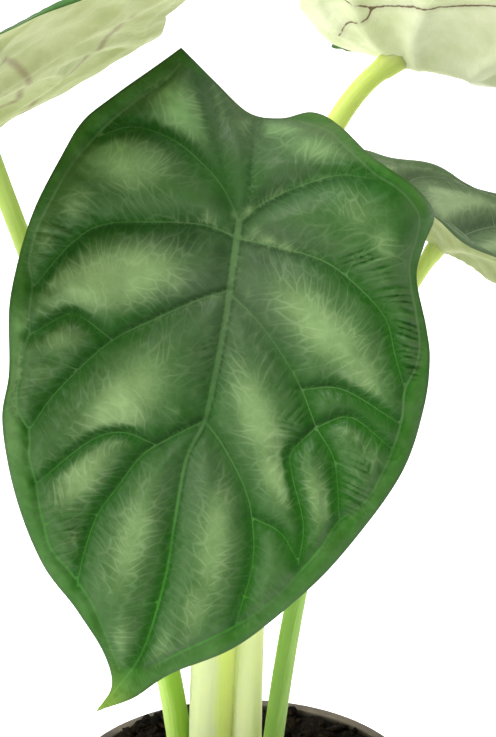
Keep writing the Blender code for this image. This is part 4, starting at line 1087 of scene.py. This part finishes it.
def soilHeight(x, y):
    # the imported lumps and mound, with clods, a bank against the wall and a heap on the rim at the back left
    size = soilSizes
    wave = math.sin(610 * x + 240 * y) + math.sin(420 * y - 530 * x + 1.7) + math.sin(980 * x - 310 * y + 0.6)
    height = size["lump"] * wave / 3 + size["mound"] * math.exp(-(x * x + y * y) / size["moundRadius"] ** 2)
    height += size["clodHeight"] * noise.fractal(Vector((x, y, 0)) * size["clodScale"], 0.9, 2.1, 5)
    fromWall = innerRadius(soilTop) - math.hypot(x, y)
    height += size["bankHeight"] * (1 - float(smooth(fromWall, 0, size["bankWidth"])))
    turn = math.radians(size["heapAngle"])
    gap = math.hypot(x - size["heapCentre"] * math.cos(turn), y - size["heapCentre"] * math.sin(turn))
    return height + size["heapHeight"] * math.exp(-((gap / size["heapRadius"]) ** 2))


def buildSoil(material):
    steps, rings = round(soilSizes["steps"] / coarser), round(soilSizes["rings"] / coarser)
    narrower, bottom = soilSizes["fromWall"], potSizes["floor"] + soilSizes["overFloor"]
    outer = innerRadius(soilTop) - narrower
    rows = [circle(0, bottom, steps), circle(innerRadius(potSizes["floor"]) - narrower, bottom, steps),
            circle(outer, soilTop - soilSizes["edgeDrop"], steps)]
    for ring in range(rings):
        radius = outer * (1 - ring / rings)
        rows.append([(x, y, soilTop + soilHeight(x, y)) for x, y, _ in circle(radius, 0, steps)])
    rows.append([(0, 0, soilTop + soilHeight(0, 0))])
    soil = addMesh("soil_surface", *ringFaces(rows, steps), [material])
    place(soil, "soil")


def buildCrumbs(material):
    # loose crumbs and bark chips, joined in one mesh
    size = crumbSizes
    draw = random.Random(7)
    lump = bmesh.new()
    bmesh.ops.create_icosphere(lump, subdivisions=2, radius=1)
    ball = np.array([tuple(vert.co) for vert in lump.verts])
    ballFaces = np.array([[vert.index for vert in face.verts] for face in lump.faces])
    lump.free()
    points, faces = [], []
    total = size["crumbs"] + size["chips"]
    outer = innerRadius(soilTop) - size["fromWall"]
    heap = math.radians(soilSizes["heapAngle"])
    small, large = size["breadth"]
    for index in range(total):
        if index % size["heapEvery"] == 0:
            turn = heap + draw.uniform(-size["heapTurn"], size["heapTurn"])
            radius = outer * draw.uniform(size["heapFrom"], 1.0)
        else:
            turn, radius = draw.uniform(0, math.tau), outer * math.sqrt(draw.random())
        x, y = radius * math.cos(turn), radius * math.sin(turn)
        breadth = small + (large - small) * draw.random() ** size["bias"]
        form = ball * breadth * (np.array(size["chipForm"]) if index >= size["crumbs"] else 1)
        rough = np.array([noise.noise(Vector(spot) * size["lumps"] + Vector((index, 0, 0))) for spot in ball])
        form = form * (1 + size["roughness"] * rough)[:, None]
        turnBy = Matrix.Rotation(draw.uniform(0, math.tau), 3, "Z")
        turnBy = turnBy @ Matrix.Rotation(draw.uniform(-size["tilt"], size["tilt"]), 3, "X")
        form = form @ np.array(turnBy).T + np.array([x, y, soilTop + soilHeight(x, y) + size["lift"] * breadth])
        faces += (ballFaces + len(points) * len(ball)).tolist()
        points.append(form)
    crumbs = addMesh("soil_crumbs", np.vstack(points), faces, [material])
    place(crumbs, None)
    print("soil with", total, "crumbs and chips")


# Pot: black polypropylene, injection moulded thin. Fine mould grain makes it satin, and the flat colour turns
# greyer where it has rubbed.

def mouldedPlastic():
    material, shader, add = newMaterial("black polypropylene, injection moulded", {"IOR": 1.49})
    size = potSizes
    spot = add("TexCoord", out=3)
    grain = add("TexNoise", {"Vector": spot, "Scale": size["grain"], "Detail": 3})
    rubs = add("TexNoise", {"Vector": spot, "Scale": size["rubs"], "Detail": 5, "Roughness": 0.65})
    share = add("MapRange", [rubs, 0.45, 0.75, 0.0, size["rubStrength"]], **eased)
    skin = add("Mix", {0: share, 6: linear(size["black"]), 7: linear(size["rubbed"])}, **colourMix)
    # lighter and browner in patches on the top of the rim
    height = add("SeparateXYZ", [spot], out=2)
    rimTopShare = add("MapRange", [height, size["height"] - size["rimTopDepth"], size["height"]])
    rimTopSpots = add("MapRange", [rubs, 0.35, 0.6, *size["rimTopSpots"]])
    rimTopShare = add("Math", [rimTopShare, rimTopSpots], operation="MULTIPLY")
    skin = add("Mix", {0: rimTopShare, 6: skin, 7: linear(size["rimTop"])}, **colourMix)
    roughness = add("MapRange", [rubs, 0.3, 0.7, *size["sheen"]])
    finishMaterial(add, shader, skin, roughness, grain, size["grainBump"])
    return material


def buildPot(material):
    size = potSizes
    steps, top, bevel = size["segments"], size["height"], size["rimBevel"]
    underRim = top - size["rimHeight"]
    quarter = [(1 - math.cos(turn), math.sin(turn)) for turn in np.linspace(0, math.pi / 2, 6)]
    profile = [(0, 0), (size["footRadius"] - 0.004, 0)]
    profile += [(size["footRadius"] - size["footBevel"] * (1 - b), size["footBevel"] * a) for a, b in quarter]
    # a small rounding under the rim, then the rim itself
    profile += [(outerRadius(underRim) - 0.0002, underRim - 0.0008), (outerRadius(underRim) + 0.0004, underRim)]
    profile += [(size["rimRadius"] - a * bevel, underRim + b * bevel) for a, b in ((0.7, 0.2), (0.15, 0.6), (0, 1.2))]
    profile += [(size["rimRadius"] - bevel * a, top - bevel * (1 - b)) for a, b in quarter]
    profile += [(innerRadius(top) + 0.5 * bevel * (1 - b), top - bevel * a) for a, b in quarter]
    profile += [(innerRadius(size["floor"]), size["floor"]), (0, size["floor"])]
    pot = addMesh("pot_shell", *ringFaces([circle(r, z, steps) for r, z in profile], steps), [material], sharpAngle=40)
    for index in range(size["holes"]):
        turn = math.tau * (index + size["holeStart"]) / size["holes"]
        spot = Vector((size["holeCircle"] * math.cos(turn), size["holeCircle"] * math.sin(turn), 0))
        shape = bmesh.new()
        bmesh.ops.create_cone(shape, cap_ends=True, segments=40, depth=4 * size["floor"], radius1=size["holeRadius"],
                              radius2=size["holeRadius"], matrix=Matrix.Translation(spot))
        mesh = bpy.data.meshes.new("holeCutter")
        shape.to_mesh(mesh)
        shape.free()
        cutter = bpy.data.objects.new("holeCutter", mesh)
        bpy.context.scene.collection.objects.link(cutter)
        hole = pot.modifiers.new("drain hole", "BOOLEAN")
        hole.object = cutter
        hole.solver = "EXACT"
        bpy.context.view_layer.update()
        cut = bpy.data.meshes.new_from_object(pot.evaluated_get(bpy.context.evaluated_depsgraph_get()))
        pot.modifiers.clear()
        pot.data = cut
        bpy.data.objects.remove(cutter, do_unlink=True)
    pot.data.name = "pot_shell"
    place(pot, "pot")


# Studio: a matt white table under a white sky, one broad soft light overhead and a weaker one at the left

studio = {
    "tableHalf": 6.0, "tableGlow": 0.9, "sky": 0.55, "skyBehindCamera": 0.26, "skyTurn": (0.45, 0.85),
    "lights": [  # name, place, size and watts
        ("overhead softbox", (-0.30, -0.28, 1.72), 0.9, 27.0),
        ("left softbox", (-1.30, -0.90, 0.85), 0.9, 14.0),
    ],
    "aim": (0.0, -0.02, 0.26),
    "camera": (0.002, -1.255, 0.847), "focalPixels": 4290, "imageHeight": 737, "sensor": 36,
}


def mattPaper():
    material, shader, add = newMaterial("matt white paper", {
        "IOR": 1.45, "Specular IOR Level": 0.1, "Emission Color": (1, 1, 1, 1),
        "Emission Strength": studio["tableGlow"]})  # the table is lit from below too
    spot = add("TexCoord", out=3)
    fibres = add("TexNoise", {"Vector": spot, "Scale": 900, "Detail": 3})  # paper fibres of 1.1 mm
    roughness = add("MapRange", [fibres, 0.0, 1.0, 0.85, 0.95])
    colour = add("Mix", {0: fibres, 6: linear("#f4f4f3"), 7: linear("#f7f7f6")}, **colourMix)
    finishMaterial(add, shader, colour, roughness, fibres, 0.00001)
    return material


def buildStudio():
    scene = bpy.context.scene
    half = studio["tableHalf"]
    corners = [(-half, -half, 0), (half, -half, 0), (half, half, 0), (-half, half, 0)]
    table = addMesh("table", corners, [(0, 1, 2, 3)], [mattPaper()])
    # the sky is darker behind the camera, so that the leaves don't mirror a flat white
    scene.world = bpy.data.worlds.new("white sky")
    scene.world.use_nodes = True
    tree = scene.world.node_tree
    sky = tree.nodes["Background"]
    sky.inputs["Color"].default_value = (1, 1, 1, 1)
    way = addNode(tree, "TexCoord")
    facing = addNode(tree, "VectorMath", [way, tuple(outwards)], out=1, operation="DOT_PRODUCT")
    darkening = [facing, *studio["skyTurn"], studio["sky"], studio["skyBehindCamera"]]
    glow = addNode(tree, "MapRange", darkening, **eased)
    tree.links.new(glow, sky.inputs["Strength"])
    for name, spot, size, watts in studio["lights"]:
        light = bpy.data.lights.new(name, "AREA")
        light.shape = "DISK"
        light.size = size
        light.energy = watts
        lamp = bpy.data.objects.new(name, light)
        lamp.location = spot
        lamp.rotation_euler = (Vector(studio["aim"]) - Vector(spot)).to_track_quat("-Z", "Y").to_euler()
        lamp.visible_camera = False
        scene.collection.objects.link(lamp)
    lens = bpy.data.cameras.new("photo camera")
    lens.sensor_fit = "VERTICAL"
    lens.sensor_height = studio["sensor"]
    lens.lens = studio["focalPixels"] / studio["imageHeight"] * studio["sensor"]
    lens.clip_end = 20
    camera = bpy.data.objects.new("photo camera", lens)
    camera.location = studio["camera"]
    camera.rotation_euler = (math.pi / 2 - tilt, 0, 0)
    scene.collection.objects.link(camera)
    scene.camera = camera
    scene.view_settings.view_transform = "Standard"


buildPot(mouldedPlastic())
soilMaterial = peatMix()
buildSoil(soilMaterial)
buildCrumbs(soilMaterial)
buildCorm(cormSkin())
print("pot, soil and corm built")
upperSkin = waxyUpperSkin("waxy leaf skin, grown", upperLook)
# painted glare: the right leaf's skin is greyer all over
glareSkin = waxyUpperSkin("waxy leaf skin, grown, painted glare", glareLook)
for leafName in leaves:
    label = leafName.replace("_", " ")
    underSkin = mattUnderSkin("matt leaf underside, " + label, underLook[leafName])
    leafBlade = buildBlade(leafName, [glareSkin if leafName == "right" else upperSkin, underSkin])
    bpy.context.view_layer.update()
    buildStalk(leafName, leafBlade, stalkSkin("juicy leaf stalk, " + label, stalkLooks[leafName]))
buildStudio()
print("studio lit")

bpy.context.view_layer.update()
